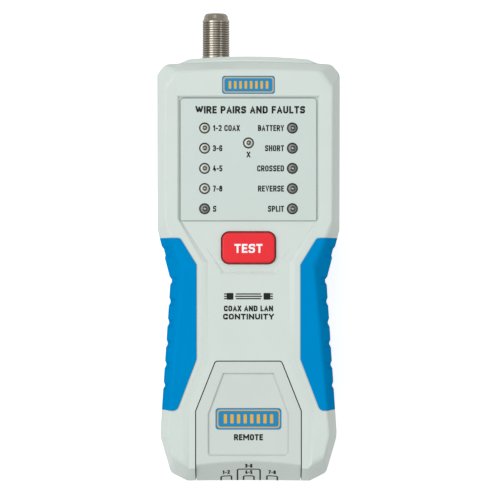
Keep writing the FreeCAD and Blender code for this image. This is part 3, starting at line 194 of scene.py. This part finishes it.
def paint_side_shade(material, colour):
    """Paints shade on the faces that turn away from the front, in a second, darker colour."""
    tree = material.node_tree
    shader = tree.nodes["Principled BSDF"]
    link = shader.inputs["Base Color"].links[0]
    facing = node_of(tree, "ShaderNodeNewGeometry")
    parts = node_of(tree, "ShaderNodeSeparateXYZ")
    tree.links.new(facing.outputs["Normal"], parts.inputs["Vector"])
    share = node_of(tree, "ShaderNodeMapRange", interpolation_type="SMOOTHSTEP")
    share.inputs["From Min"].default_value = SIDE_UPRIGHT
    share.inputs["From Max"].default_value = FRONT_UPRIGHT
    tree.links.new(parts.outputs["Z"], share.inputs["Value"])
    blend = node_of(tree, "ShaderNodeMix", data_type="RGBA")
    tree.links.new(share.outputs["Result"], blend.inputs["Factor"])
    blend.inputs["A"].default_value = linear(*colour)
    tree.links.new(link.from_socket, blend.inputs["B"])
    tree.links.new(blend.outputs["Result"], shader.inputs["Base Color"])
    return material


# the case's and the remote's plastics have painted shade in their grooves and corners
case = paint_hollow_shade(moulded("case_plastic", (214, 224, 218), 0.5, mottle=0.012, grain=0.25,
                            Specular_IOR_Level=0.25), 0.5)
remote_case = paint_hollow_shade(moulded("remote_plastic", (209, 218, 212), 0.5, mottle=0.012,
                                   grain=0.25, Specular_IOR_Level=0.25), 0.7)
rubber = moulded("grip_rubber", (0, 140, 206), 0.5, grain=0.35, grain_size=0.5,
                 Specular_IOR_Level=0.0)
film = moulded("label_film", (206, 218, 213), 0.38, mottle=0.008, grain=0.1,
               Specular_IOR_Level=0.3)
# the button's sides have painted shade, a darker red
cap = paint_side_shade(moulded("button_plastic", (236, 42, 50), 0.4, grain=0.12,
                         Specular_IOR_Level=0.25), (120, 14, 20))
black_print = moulded("dark_ink", (14, 20, 20), 0.6, mottle=0.06, grain=0.1,
                      Specular_IOR_Level=0.2)
white_print = moulded("white_ink", (250, 250, 250), 0.45, mottle=0.0, grain=0.1)
# painted shade for the thin line round the label's rim
painted_rim_shade = moulded("label_rim_shade", (120, 130, 126), 0.6, mottle=0.05, grain=0.1)
badge_blue = moulded("badge_blue", (40, 138, 190), 0.4, mottle=0.03, grain=0.1,
                     Specular_IOR_Level=0.1)
badge_gold = moulded("badge_gold", (226, 178, 74), 0.4, mottle=0.04, grain=0.1,
                     Specular_IOR_Level=0.1)
# the nickel has painted shade in the grooves of its thread
nickel = paint_hollow_shade(moulded("nickel_plate", (126, 121, 111), 0.22, mottle=0.06, grain=0.05,
                              metallic=1.0), 0.2)
gold = moulded("gold_plate", (222, 176, 84), 0.25, mottle=0.06, grain=0.2, metallic=1.0)
steel = moulded("zinc_steel", (150, 150, 150), 0.35, mottle=0.08, grain=0.3, metallic=1.0)
white_plastic = moulded("white_insulator", (228, 226, 216), 0.4)
socket_plastic = moulded("socket_plastic", (36, 37, 39), 0.38, mottle=0.05)
board_green = moulded("board_mask", (24, 92, 48), 0.35, mottle=0.06)
chip_epoxy = moulded("chip_epoxy", (30, 30, 32), 0.55, mottle=0.05)
jacket = moulded("battery_jacket", (56, 62, 74), 0.3, mottle=0.04, metallic=0.4)
red_wire = moulded("red_insulation", (190, 30, 30), 0.4, mottle=0.03)
black_wire = moulded("black_insulation", (30, 30, 30), 0.4, mottle=0.03)
lacquer = moulded("resistor_lacquer", (196, 170, 120), 0.35, mottle=0.06)


LAMP_RADIUS = 1.6
# how far the rings in a lamp wander from true circles, in millimetres
LAMP_SWAY = 0.16
# half of the width over which the die gives way to the cup
DIE_EDGE = 0.06


def ring_colours(tree, place, centre, bands):
    """Rings about an upright line: outputs of how far out a place lies, and of its colour."""
    away = node_of(tree, "ShaderNodeVectorMath", operation="SUBTRACT")
    tree.links.new(place, away.inputs[0])
    away.inputs[1].default_value = (*centre, 0)
    flat = node_of(tree, "ShaderNodeVectorMath", operation="MULTIPLY")
    tree.links.new(away.outputs["Vector"], flat.inputs[0])
    flat.inputs[1].default_value = (1, 1, 0)
    radius = node_of(tree, "ShaderNodeVectorMath", operation="LENGTH")
    tree.links.new(flat.outputs["Vector"], radius.inputs[0])
    share = node_of(tree, "ShaderNodeMath", operation="DIVIDE")
    tree.links.new(radius.outputs["Value"], share.inputs[0])
    share.inputs[1].default_value = LAMP_RADIUS * MM
    ramp = node_of(tree, "ShaderNodeValToRGB")
    ramp.color_ramp.interpolation = "EASE"
    elements = ramp.color_ramp.elements
    elements.remove(elements[1])
    elements[0].color = linear(*bands[0][1])
    for reach, colour in bands[1:]:
        elements.new(reach / LAMP_RADIUS).color = linear(*colour)
    tree.links.new(share.outputs["Value"], ramp.inputs["Fac"])
    return share.outputs["Value"], ramp.outputs["Color"]


def lamp_resin(node, die_shift, cup_bands, die_bands):
    """A lamp's lens, in which its cup and its die show as rings.

    die_shift is the die's place in millimetres beside the lamp's axis. The bands are
    (radius in millimetres, colour) pairs: the cup's about the axis, the die's about the die.
    """
    material = bpy.data.materials.new(f"{node}_resin")
    material.use_nodes = True
    tree = material.node_tree
    shader = tree.nodes["Principled BSDF"]
    shader.inputs["Roughness"].default_value = 0.12
    shader.inputs["Coat Weight"].default_value = 0.35
    shader.inputs["Coat Roughness"].default_value = 0.08
    place = node_of(tree, "ShaderNodeTexCoord")
    wander = node_of(tree, "ShaderNodeTexNoise")
    wander.inputs["Scale"].default_value = 900.0
    tree.links.new(place.outputs["Object"], wander.inputs["Vector"])
    sway = node_of(tree, "ShaderNodeVectorMath", operation="MULTIPLY_ADD")
    tree.links.new(wander.outputs["Color"], sway.inputs[0])
    sway.inputs[1].default_value = (LAMP_SWAY * MM,) * 3
    tree.links.new(place.outputs["Object"], sway.inputs[2])

    # the sway only adds, so the axis is set off by half of it
    axis = middle(node) + Vector((1, 1, 0)) * (LAMP_SWAY * MM / 2)
    die_axis = (axis.x + die_shift[0] * MM, axis.y + die_shift[1] * MM)
    _, cup = ring_colours(tree, sway.outputs["Vector"], (axis.x, axis.y), cup_bands)
    die_reach, die = ring_colours(tree, sway.outputs["Vector"], die_axis, die_bands)
    die_radius = die_bands[-1][0]
    inside = node_of(tree, "ShaderNodeMapRange")
    inside.inputs["From Min"].default_value = (die_radius - DIE_EDGE) / LAMP_RADIUS
    inside.inputs["From Max"].default_value = (die_radius + DIE_EDGE) / LAMP_RADIUS
    inside.inputs["To Min"].default_value = 1.0
    inside.inputs["To Max"].default_value = 0.0
    tree.links.new(die_reach, inside.inputs["Value"])
    blend = node_of(tree, "ShaderNodeMix", data_type="RGBA")
    tree.links.new(inside.outputs["Result"], blend.inputs["Factor"])
    tree.links.new(cup, blend.inputs["A"])
    tree.links.new(die, blend.inputs["B"])
    tree.links.new(blend.outputs["Result"], shader.inputs["Base Color"])
    return material


# each lamp's rings, from its middle outwards, and where its die stands beside its axis; the bright
# middle of each die is a painted highlight, and the dark outermost band of each cup is painted
# shade at the lens's rim
LIT_CUP = ((0.0, (208, 214, 204)), (0.9, (216, 224, 214)), (1.22, (230, 236, 228)),
           (1.38, (172, 178, 170)), (1.6, (46, 52, 48)))
LIT_DIE = ((0.0, (226, 228, 210)), (0.2, (176, 178, 156)), (0.34, (40, 44, 28)),
           (0.72, (52, 56, 38)), (0.92, (176, 180, 162)))
DARK_CUP = ((0.0, (110, 114, 110)), (1.0, (148, 154, 149)), (1.3, (122, 128, 123)),
            (1.6, (58, 64, 60)))
DARK_DIE = ((0.0, (220, 224, 218)), (0.24, (176, 180, 174)), (0.38, (26, 30, 27)),
            (0.82, (34, 38, 35)), (0.98, (98, 104, 99)))
LIT_DIE_PLACE = (0.08, 0.06)
DARK_DIE_PLACE = (0.14, -0.04)

FINISH = {
    "front_case": case, "rear_case": case, "battery_door": case,
    "remote_front_case": remote_case, "remote_rear_case": remote_case,
    "left_grip": rubber, "right_grip": rubber, "label_plate": film, "test_button": cap,
    "f_jack_body": nickel, "remote_f_jack_body": nickel, "f_jack_insulator": white_plastic,
    "remote_f_jack_insulator": white_plastic, "f_jack_contact": gold,
    "remote_f_jack_contact": gold, "rj45_jack_contacts": gold, "remote_jack_contacts": gold,
    "rj45_jack_housing": socket_plastic, "remote_jack_housing": socket_plastic,
    "switch_body": socket_plastic, "switch_plunger": socket_plastic, "battery_snap": socket_plastic,
    "main_board": board_green, "remote_board": board_green, "controller_chip": chip_epoxy,
    "battery": jacket, "red_lead": red_wire, "black_lead": black_wire, "case_screws": steel,
    "board_screws": steel, "remote_screws": steel, "remote_resistors": lacquer,
}
LIT_LAMPS = ("led_pair_12", "led_pair_36", "led_pair_45", "led_pair_78", "led_cross")
DARK_LAMPS = ("led_shield", "led_battery", "led_short", "led_crossed", "led_reverse", "led_split")
for lamp in LIT_LAMPS:
    FINISH[lamp] = lamp_resin(lamp, LIT_DIE_PLACE, LIT_CUP, LIT_DIE)
for lamp in DARK_LAMPS:
    FINISH[lamp] = lamp_resin(lamp, DARK_DIE_PLACE, DARK_CUP, DARK_DIE)


def dress(node, material):
    """Gives a node one finish all over."""
    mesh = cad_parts[node].data
    mesh.materials.clear()
    mesh.materials.append(material)


for node, material in FINISH.items():
    dress(node, material)

# ---------------------------------------------------------------- softened edges


# points closer than this are one, faces that turn less than this are one, and edges that turn
# more than this are rounded
SAME_PLACE = 0.002 * MM
SAME_PLANE = math.radians(0.5)
EDGE_ANGLE = math.radians(28)


def soften(node, width):
    """Round the edges of a moulded piece, width in millimetres."""
    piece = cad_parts[node]
    weld = piece.modifiers.new("weld", "WELD")
    weld.merge_threshold = SAME_PLACE
    planar = piece.modifiers.new("planar", "DECIMATE")
    planar.decimate_type = "DISSOLVE"
    planar.angle_limit = SAME_PLANE
    bevel = piece.modifiers.new("bevel", "BEVEL")
    bevel.width = width * MM
    bevel.segments = 3
    bevel.limit_method = "ANGLE"
    bevel.angle_limit = EDGE_ANGLE
    bevel.use_clamp_overlap = True
    smooth = piece.modifiers.new("smooth", "WEIGHTED_NORMAL")
    smooth.keep_sharp = True
    smooth.weight = 80
    for face in piece.data.polygons:
        face.use_smooth = True


# how wide the rounding of each moulded piece is, in millimetres
SOFT_EDGES = {
    "front_case": 0.5, "rear_case": 0.5, "left_grip": 0.35, "right_grip": 0.35,
    "remote_front_case": 0.5, "remote_rear_case": 0.4, "battery_door": 0.25,
}
for node, width in SOFT_EDGES.items():
    soften(node, width)

# ---------------------------------------------------------------- printing, and the painted shade round the label

# the ink's thickness in millimetres; marks that cross take turns at a few heights, a step apart
INK = 0.02
INK_STEP = 0.002
INK_HEIGHTS = 4
# how many flats make up the quarter circle at a corner, and the bend where a line turns
CORNER_FLATS = 6
BEND_FLATS = 4
# a line's sharp bends are drawn out no further than a bend whose half has this cosine
LEAST_COSINE = 0.6
# points of a line closer than this in millimetres are one
NEAR = 1e-4


def prism(shape, outer, inner, top):
    """A thin closed plate, from just under a surface to a little above it, in millimetres.

    It lies between an outline and, where there is one, the outline of its hole.
    """
    levels = []
    for height in (-INK, top):
        levels.append([[shape.verts.new((x * MM, y * MM, height * MM)) for x, y in loop]
                       for loop in (outer, inner) if loop])
    low, high = levels
    for foot, rim, inward in zip(low, high, (False, True)):
        for place in range(len(foot)):
            after = (place + 1) % len(foot)
            side = [foot[place], foot[after], rim[after], rim[place]]
            shape.faces.new(side[::-1] if inward else side)
    for level, upward in ((low, False), (high, True)):
        if inner is None:
            shape.faces.new(level[0] if upward else level[0][::-1])
            continue
        for place in range(len(outer)):
            after = (place + 1) % len(outer)
            face = [level[0][place], level[0][after], level[1][after], level[1][place]]
            shape.faces.new(face if upward else face[::-1])


def rounded(half_width, half_height, radius, x=0.0, y=0.0):
    """The outline of a rectangle with round corners about a point, in millimetres."""
    points = []
    for corner, (across, up) in enumerate(((1, 1), (-1, 1), (-1, -1), (1, -1))):
        centre = (x + across * (half_width - radius), y + up * (half_height - radius))
        for step in range(CORNER_FLATS + 1):
            turn = math.radians(90 * (corner + step / CORNER_FLATS))
            points.append((centre[0] + radius * math.cos(turn),
                           centre[1] + radius * math.sin(turn)))
    return points


def stroke(points, width, square=False):
    """The outline of a line of a given width through points, in millimetres.

    A square line also runs on past its ends by half of its width.
    """
    points = list(points)
    left, right = [], []
    if square:
        for end, beside in ((0, 1), (-1, -2)):
            tip = Vector(points[end])
            points[end] = tuple(tip + (tip - Vector(points[beside])).normalized() * width / 2)
    for place, (x, y) in enumerate(points):
        before = Vector(points[max(place - 1, 0)])
        after = Vector(points[min(place + 1, len(points) - 1)])
        here = Vector((x, y))
        first = (here - before).normalized() if place else (after - here).normalized()
        last = (after - here).normalized() if place < len(points) - 1 else first
        along = (first + last).normalized()
        across = Vector((-along.y, along.x)) * (width / 2 / max(along.dot(first), LEAST_COSINE))
        left.append(tuple(here + across))
        right.append(tuple(here - across))
    return right + left[::-1]


def printed(name, prisms, place, material, body):
    """Thin printed marks made of (outline, hole) pairs, set on the surface at a place.

    The place is a matrix, or a function that takes a point to its place. The marks take turns
    at a few heights, so that the tops of marks that cross don't share a plane.
    """
    shape = bmesh.new()
    for count, (outer, inner) in enumerate(prisms):
        prism(shape, outer, inner, INK + INK_STEP * (count % INK_HEIGHTS))
    mesh = bpy.data.meshes.new(name)
    shape.to_mesh(mesh)
    shape.free()
    mesh.materials.append(material)
    if callable(place):
        for vertex in mesh.vertices:
            vertex.co = place(vertex.co)
    else:
        mesh.transform(place)
    marks = bpy.data.objects.new(name, mesh)
    bpy.context.scene.collection.objects.link(marks)
    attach(marks, body)


# The plain letters: how wide each is, as a share of its height, and the lines that it is drawn
# with, as points from 0 to 1 across and up. A point marked with a star keeps a sharp corner.
LETTERS = {
    "A": (0.66, ("0,0 .5,1* 1,0", ".16,.3 .84,.3")),
    "B": (0.62, ("0,0* 0,1* .92,1 .92,.53 0,.53", ".5,.53 1,.53 1,0 0,0* 0,.2")),
    "C": (0.62, ("1,.8 1,1 0,1 0,0 1,0 1,.2",)),
    "D": (0.64, ("0,0* 0,1* 1,1 1,0 0,0* 0,.2",)),
    "E": (0.54, ("1,1 0,1* 0,0* 1,0", "0,.52 .86,.52")),
    "F": (0.54, ("1,1 0,1* 0,0", "0,.5 .86,.5")),
    "H": (0.64, ("0,0 0,1", "1,0 1,1", "0,.51 1,.51")),
    "I": (0.17, (".5,0 .5,1",)),
    "L": (0.52, ("0,1 0,0* 1,0",)),
    "M": (0.92, ("0,0 0,1", "1,0 1,1", "0,.97 .5,.36* 1,.97")),
    "N": (0.68, ("0,0 0,1", "1,0 1,1", ".04,.97 .96,.03")),
    "O": (0.64, ("0,.5 0,1 1,1 1,0 0,0 0,.5",)),
    "P": (0.62, ("0,0 0,1* 1,1 1,.44 0,.44",)),
    "R": (0.64, ("0,0 0,1* 1,1 1,.46 0,.46", ".55,.46 1,0")),
    "S": (0.62, ("1,.88 1,1 0,1 0,.52 1,.52 1,0 0,0 0,.12",)),
    "T": (0.60, ("0,1 1,1", ".5,0 .5,1")),
    "U": (0.64, ("0,1 0,0 1,0 1,1",)),
    "V": (0.66, ("0,1 .5,0* 1,1",)),
    "W": (0.96, ("0,1 .26,.04 .5,.86", "1,1 .74,.04 .5,.86")),
    "X": (0.62, ("0,0 1,1", "0,1 1,0")),
    "Y": (0.64, ("0,1 .5,.45* 1,1", ".5,0 .5,.45")),
    "1": (0.40, ("1,0 1,1", ".1,.78 .9,.96")),
    "2": (0.58, ("0,.88 0,1 1,1 1,.6 0,0* 1,0",)),
    "3": (0.58, ("0,.88 0,1 1,1 1,.52 .35,.52", "1,.52 1,0 0,0 0,.12")),
    "4": (0.62, (".5,1 0,.26* 1,.26", ".72,0 .72,.5")),
    "5": (0.58, ("1,1 0,1* 0,.56* 1,.56 1,0 0,0 0,.12",)),
    "6": (0.60, ("1,.88 1,1 0,1 0,0 1,0 1,.55 0,.55",)),
    "7": (0.56, ("0,1 1,1* .35,0",)),
    "8": (0.60, (".5,.53 .06,.53 .06,1 .94,1 .94,.53 .5,.53", ".5,.53 0,.53 0,0 1,0 1,.53 .5,.53")),
    "-": (0.42, ("0,.42 1,.42",)),
    " ": (0.26, ()),
}


def eased(points, radius):
    """The points of a line with its unmarked corners rounded; points are (x, y, sharp)."""
    line = [Vector(points[0][:2])]
    for before, here, after in zip(points, points[1:], points[2:]):
        corner = Vector(here[:2])
        back, ahead = Vector(before[:2]) - corner, Vector(after[:2]) - corner
        if here[2]:
            line.append(corner)
            continue
        reach = min(radius, back.length / 2, ahead.length / 2)
        start, end = corner + back.normalized() * reach, corner + ahead.normalized() * reach
        for step in range(BEND_FLATS + 1):
            share = step / BEND_FLATS
            line.append(start * (1 - share) ** 2 + corner * 2 * share * (1 - share)
                        + end * share ** 2)
    line.append(Vector(points[-1][:2]))
    return [tuple(point) for place, point in enumerate(line)
            if not place or (point - line[place - 1]).length > NEAR]


# the space between letters and the radius of their round corners, as shares of their height
LETTER_GAP = 0.11
LETTER_ROUND = 0.28


def lettered(name, words, place, height, width, weight, material, body, align="CENTER"):
    """Printed words: their height, whole width and the width of their lines in millimetres."""
    natural = sum(LETTERS[letter][0] + LETTER_GAP for letter in words) - LETTER_GAP
    stretch = width / (natural * height)
    x = {"LEFT": 0.0, "CENTER": -width / 2, "RIGHT": -width}[align]
    marks = []
    for letter in words:
        broad = LETTERS[letter][0] * height * stretch
        for path in LETTERS[letter][1]:
            points = []
            for point in path.split():
                across, up = (float(value) for value in point.rstrip("*").split(","))
                points.append((x + weight / 2 + across * (broad - weight),
                               weight / 2 + up * (height - weight) - height / 2,
                               point.endswith("*")))
            line = stroke(eased(points, LETTER_ROUND * height), weight, square=True)
            marks.append((line, None))
        x += broad + LETTER_GAP * height * stretch
    printed(name, marks, place, material, body)


CAPTION_HEIGHT = 2.07
CAPTION_WEIGHT = 0.42
# from a lamp's axis to the near end of the caption beside it, and to the one below
CAPTION_BESIDE = 2.85
CAPTION_BELOW = 3.95


def captions():
    """The names of the lamps, beside them, and a heading."""
    # each name and its width in millimetres
    names = {
        "led_pair_12": ("1-2 COAX", 9.2), "led_pair_36": ("3-6", 3.2),
        "led_pair_45": ("4-5", 3.2), "led_pair_78": ("7-8", 3.2), "led_shield": ("S", 1.15),
        "led_battery": ("BATTERY", 8.9), "led_short": ("SHORT", 6.5),
        "led_crossed": ("CROSSED", 9.2), "led_reverse": ("REVERSE", 8.9),
        "led_split": ("SPLIT", 5.5),
    }
    for node, (words, width) in names.items():
        lamp = middle(node)
        side = 1 if lamp.x > 0 else -1
        place = Matrix.Translation((lamp.x - side * CAPTION_BESIDE * MM, lamp.y, LABEL_Z))
        lettered(f"caption_{node}", words, place, CAPTION_HEIGHT, width, CAPTION_WEIGHT,
                 black_print, "tester", align="RIGHT" if side > 0 else "LEFT")
    cross = middle("led_cross")
    below = Matrix.Translation((cross.x, cross.y - CAPTION_BELOW * MM, LABEL_Z))
    lettered("caption_cross", "X", below, height=1.95, width=1.3, weight=CAPTION_WEIGHT,
             material=black_print, body="tester")
    lettered("heading", "WIRE PAIRS AND FAULTS", on_front(0.6, 127.7, LABEL_Z), height=2.55,
             width=37.5, weight=0.6, material=black_print, body="tester")


BADGE_BARS = 8


def badge(name, half_width, half_height, place, body):
    """A plain blue plate with a thin gold outline and a row of gold bars."""
    corner = 0.3 * half_height
    margin = 0.15 * half_height
    line = 0.11 * half_height
    pitch = 1.6 * half_width / BADGE_BARS
    bar_half = 0.24 * pitch
    bar_reach = 0.42 * half_height
    bar_round = 0.1 * pitch
    printed(f"{name}_field", [(rounded(half_width, half_height, corner), None)], place,
            badge_blue, body)
    outline = (rounded(half_width - margin, half_height - margin, corner),
               rounded(half_width - margin - line, half_height - margin - line, 0.8 * corner))
    bars = [(rounded(bar_half, bar_reach, bar_round, (bar - (BADGE_BARS - 1) / 2) * pitch), None)
            for bar in range(BADGE_BARS)]
    above = place @ Matrix.Translation((0, 0, INK * MM))
    printed(f"{name}_gold", [outline, *bars], above, badge_gold, body)


def middle_print():
    """A cable with a plug at each end, over the words for what is tested."""
    plug_x = 6.3
    plug_half = 1.15
    plug_round = 0.25
    stub_x = 7.75
    stub_reach = 0.6
    stub_round = 0.08
    wire_reach = 4.6
    wire_stagger = 0.3
    wire_round = 0.15
    line_half = 0.2
    pitch = 0.8
    rows = (-1, 0, 1)
    marks = []
    for side in (-1, 1):
        marks.append((rounded(plug_half, plug_half, plug_round, side * plug_x), None))
        marks.extend((rounded(stub_reach, line_half, stub_round, side * stub_x, row * pitch), None)
                     for row in rows)
    for row in rows:
        reach = wire_reach - wire_stagger * abs(row)
        marks.append((rounded(reach, line_half, wire_round, 0, row * pitch), None))
    printed("cable_sign", marks, on_front(0, 63.9, CHANNEL_Z), black_print, "tester")
    lettered("tested_cables", "COAX AND LAN", on_front(0, 59.75, CHANNEL_Z), height=1.95,
             width=16.8, weight=0.48, material=black_print, body="tester")
    lettered("tested_for", "CONTINUITY", on_front(0, 56.95, CHANNEL_Z), height=1.95,
             width=17.4, weight=0.5, material=black_print, body="tester")


def slope_print():
    """The places of the remote's wire pairs, over the contacts of its socket."""
    corner = 0.4
    weight = 0.52
    flats = 8
    # how far the brackets keep off the very edge of the slope
    clear = 0.05
    for name, x, reach, height, words, words_y in (
            ("12", -7.65, 1.8, 2.4, "1-2", 3.1), ("36", 0.1, 3.9, 6.3, "3-6", 5.5),
            ("45", 0.1, 1.8, 2.4, "4-5", 3.1), ("78", 8.15, 1.8, 2.4, "7-8", 3.1)):
        # how far the swept foot falls back at this place, so that all marks start level
        drop = (x * MM) ** 2 / 2 / SWEEP / MM
        points = [(-reach, 0), (-reach, height - corner)]
        points += [((reach - corner) * (2 * step / flats - 1), height)
                   for step in range(flats + 1)]
        points += [(reach, height - corner), (reach, 0)]
        printed(f"bracket_{name}", [(stroke(points, weight), None)], on_slope(x, drop + clear),
                black_print, "remote")
        lettered(f"pair_{name}", words, on_slope(x, drop + words_y), height=2.1, width=2.5,
                 weight=0.46, material=black_print, body="remote")


def label_edge():
    """A line of painted shade round the label's rim, a little below its face."""
    outside = 0.12
    inside = 0.08
    outer_round = 1.1
    inner_round = 0.9
    below = 0.1 * MM
    half_width = (LABEL_HIGH.x - LABEL_LOW.x) / 2 / MM
    half_height = (LABEL_HIGH.y - LABEL_LOW.y) / 2 / MM
    middle_y = (LABEL_HIGH.y + LABEL_LOW.y) / 2 / MM - FOOT_Y / MM
    rim = (rounded(half_width + outside, half_height + outside, outer_round),
           rounded(half_width - inside, half_height - inside, inner_round))
    printed("label_rim", [rim], on_front(0, middle_y, LABEL_Z - below), painted_rim_shade, "tester")


captions()
lettered("button_word", "TEST", on_front(0, 80.3, BUTTON_Z), height=3.05, width=9.6,
         weight=0.64, material=white_print, body="button")
badge("crown_badge", 9.05, 3.1, on_front(0, 136.2, FRONT_Z), "tester")
badge("remote_badge", 11.3, 3.7, on_front(0, 21.95, PANEL_Z), "remote")
lettered("remote_word", "REMOTE", on_front(0, 15.65, PANEL_Z), height=2.1, width=9.9,
         weight=0.5, material=black_print, body="remote")
middle_print()
slope_print()
label_edge()

# ---------------------------------------------------------------- camera, floor and light


CAMERA_DISTANCE = 900 * MM
# what the picture shows at the height where the case halves meet: its width and its middle
PICTURE_WIDTH = 173.8 * MM
PICTURE_MIDDLE = (0.52 * MM, -1.125 * MM)


def camera():
    """Above the tester, as far away as its perspective in the picture calls for."""
    lens = bpy.data.cameras.new("camera")
    view = bpy.data.objects.new("camera", lens)
    bpy.context.scene.collection.objects.link(view)
    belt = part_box("rear_case")[1][2]
    view.location = (*PICTURE_MIDDLE, belt + CAMERA_DISTANCE)
    lens.lens = lens.sensor_width * CAMERA_DISTANCE / PICTURE_WIDTH
    lens.clip_end = 10
    bpy.context.scene.camera = view


def seen_white(tree):
    """One where the camera, a mirror or a clear piece looks, and zero for other rays."""
    path = node_of(tree, "ShaderNodeLightPath")
    total = path.outputs["Is Camera Ray"]
    for ray in ("Is Glossy Ray", "Is Transmission Ray"):
        adder = node_of(tree, "ShaderNodeMath", operation="MAXIMUM")
        tree.links.new(total, adder.inputs[0])
        tree.links.new(path.outputs[ray], adder.inputs[1])
        total = adder.outputs["Value"]
    return total


# half of the floor's side in metres, and its own grey
FLOOR_HALF = 1.5
FLOOR_GREY = 0.66
# what is added to the floor where it is seen, so that it is white outside the shadow
FLOOR_GLOW = 0.7


def floor():
    """A pale floor that keeps the tester's shadow; away from the tester it is seen as white."""
    mesh = bpy.data.meshes.new("floor")
    shape = bmesh.new()
    bmesh.ops.create_grid(shape, x_segments=1, y_segments=1, size=FLOOR_HALF)
    shape.to_mesh(mesh)
    shape.free()
    ground = bpy.data.objects.new("floor", mesh)
    bpy.context.scene.collection.objects.link(ground)
    material = bpy.data.materials.new("floor_white")
    material.use_nodes = True
    tree = material.node_tree
    shader = tree.nodes["Principled BSDF"]
    shader.inputs["Roughness"].default_value = 0.9
    shader.inputs["Specular IOR Level"].default_value = 0.1
    shader.inputs["Base Color"].default_value = (FLOOR_GREY, FLOOR_GREY, FLOOR_GREY, 1)
    shader.inputs["Emission Color"].default_value = (1, 1, 1, 1)
    scaled = node_of(tree, "ShaderNodeMath", operation="MULTIPLY")
    tree.links.new(seen_white(tree), scaled.inputs[0])
    scaled.inputs[1].default_value = FLOOR_GLOW
    tree.links.new(scaled.outputs["Value"], shader.inputs["Emission Strength"])
    mesh.materials.append(material)


def area(name, place, size, power):
    """A square lamp that faces the middle of the tester."""
    light = bpy.data.lights.new(name, "AREA")
    light.shape = "SQUARE"
    light.size = size
    light.energy = power
    lamp = bpy.data.objects.new(name, light)
    bpy.context.scene.collection.objects.link(lamp)
    lamp.location = place
    lamp.rotation_euler = (Vector() - Vector(place)).to_track_quat("-Z", "Y").to_euler()


# how strong the sky shines on the tester
SKY = 0.48
# each lamp's place and size in metres and its power in watts
LAMPS = {
    "key": ((-0.78, 0.1, 0.95), 0.6, 5.6),
    "side": ((0.8, 0.0, 0.85), 0.3, 1.2),
    "overhead": ((-0.2, 0.4, 1.15), 0.8, 2.6),
}


def studio():
    """A plain white sky, which is dimmer for the tester than it is seen, and three soft lamps."""
    world = bpy.data.worlds.new("studio")
    bpy.context.scene.world = world
    world.use_nodes = True
    tree = world.node_tree
    sky = tree.nodes["Background"]
    sky.inputs["Color"].default_value = (1, 1, 1, 1)
    strength = node_of(tree, "ShaderNodeMapRange")
    strength.inputs["To Min"].default_value = SKY
    tree.links.new(seen_white(tree), strength.inputs["Value"])
    tree.links.new(strength.outputs["Result"], sky.inputs["Strength"])
    for name, (place, size, power) in LAMPS.items():
        area(name, place, size, power)


camera()
floor()
studio()
bpy.context.scene.view_settings.view_transform = "Standard"
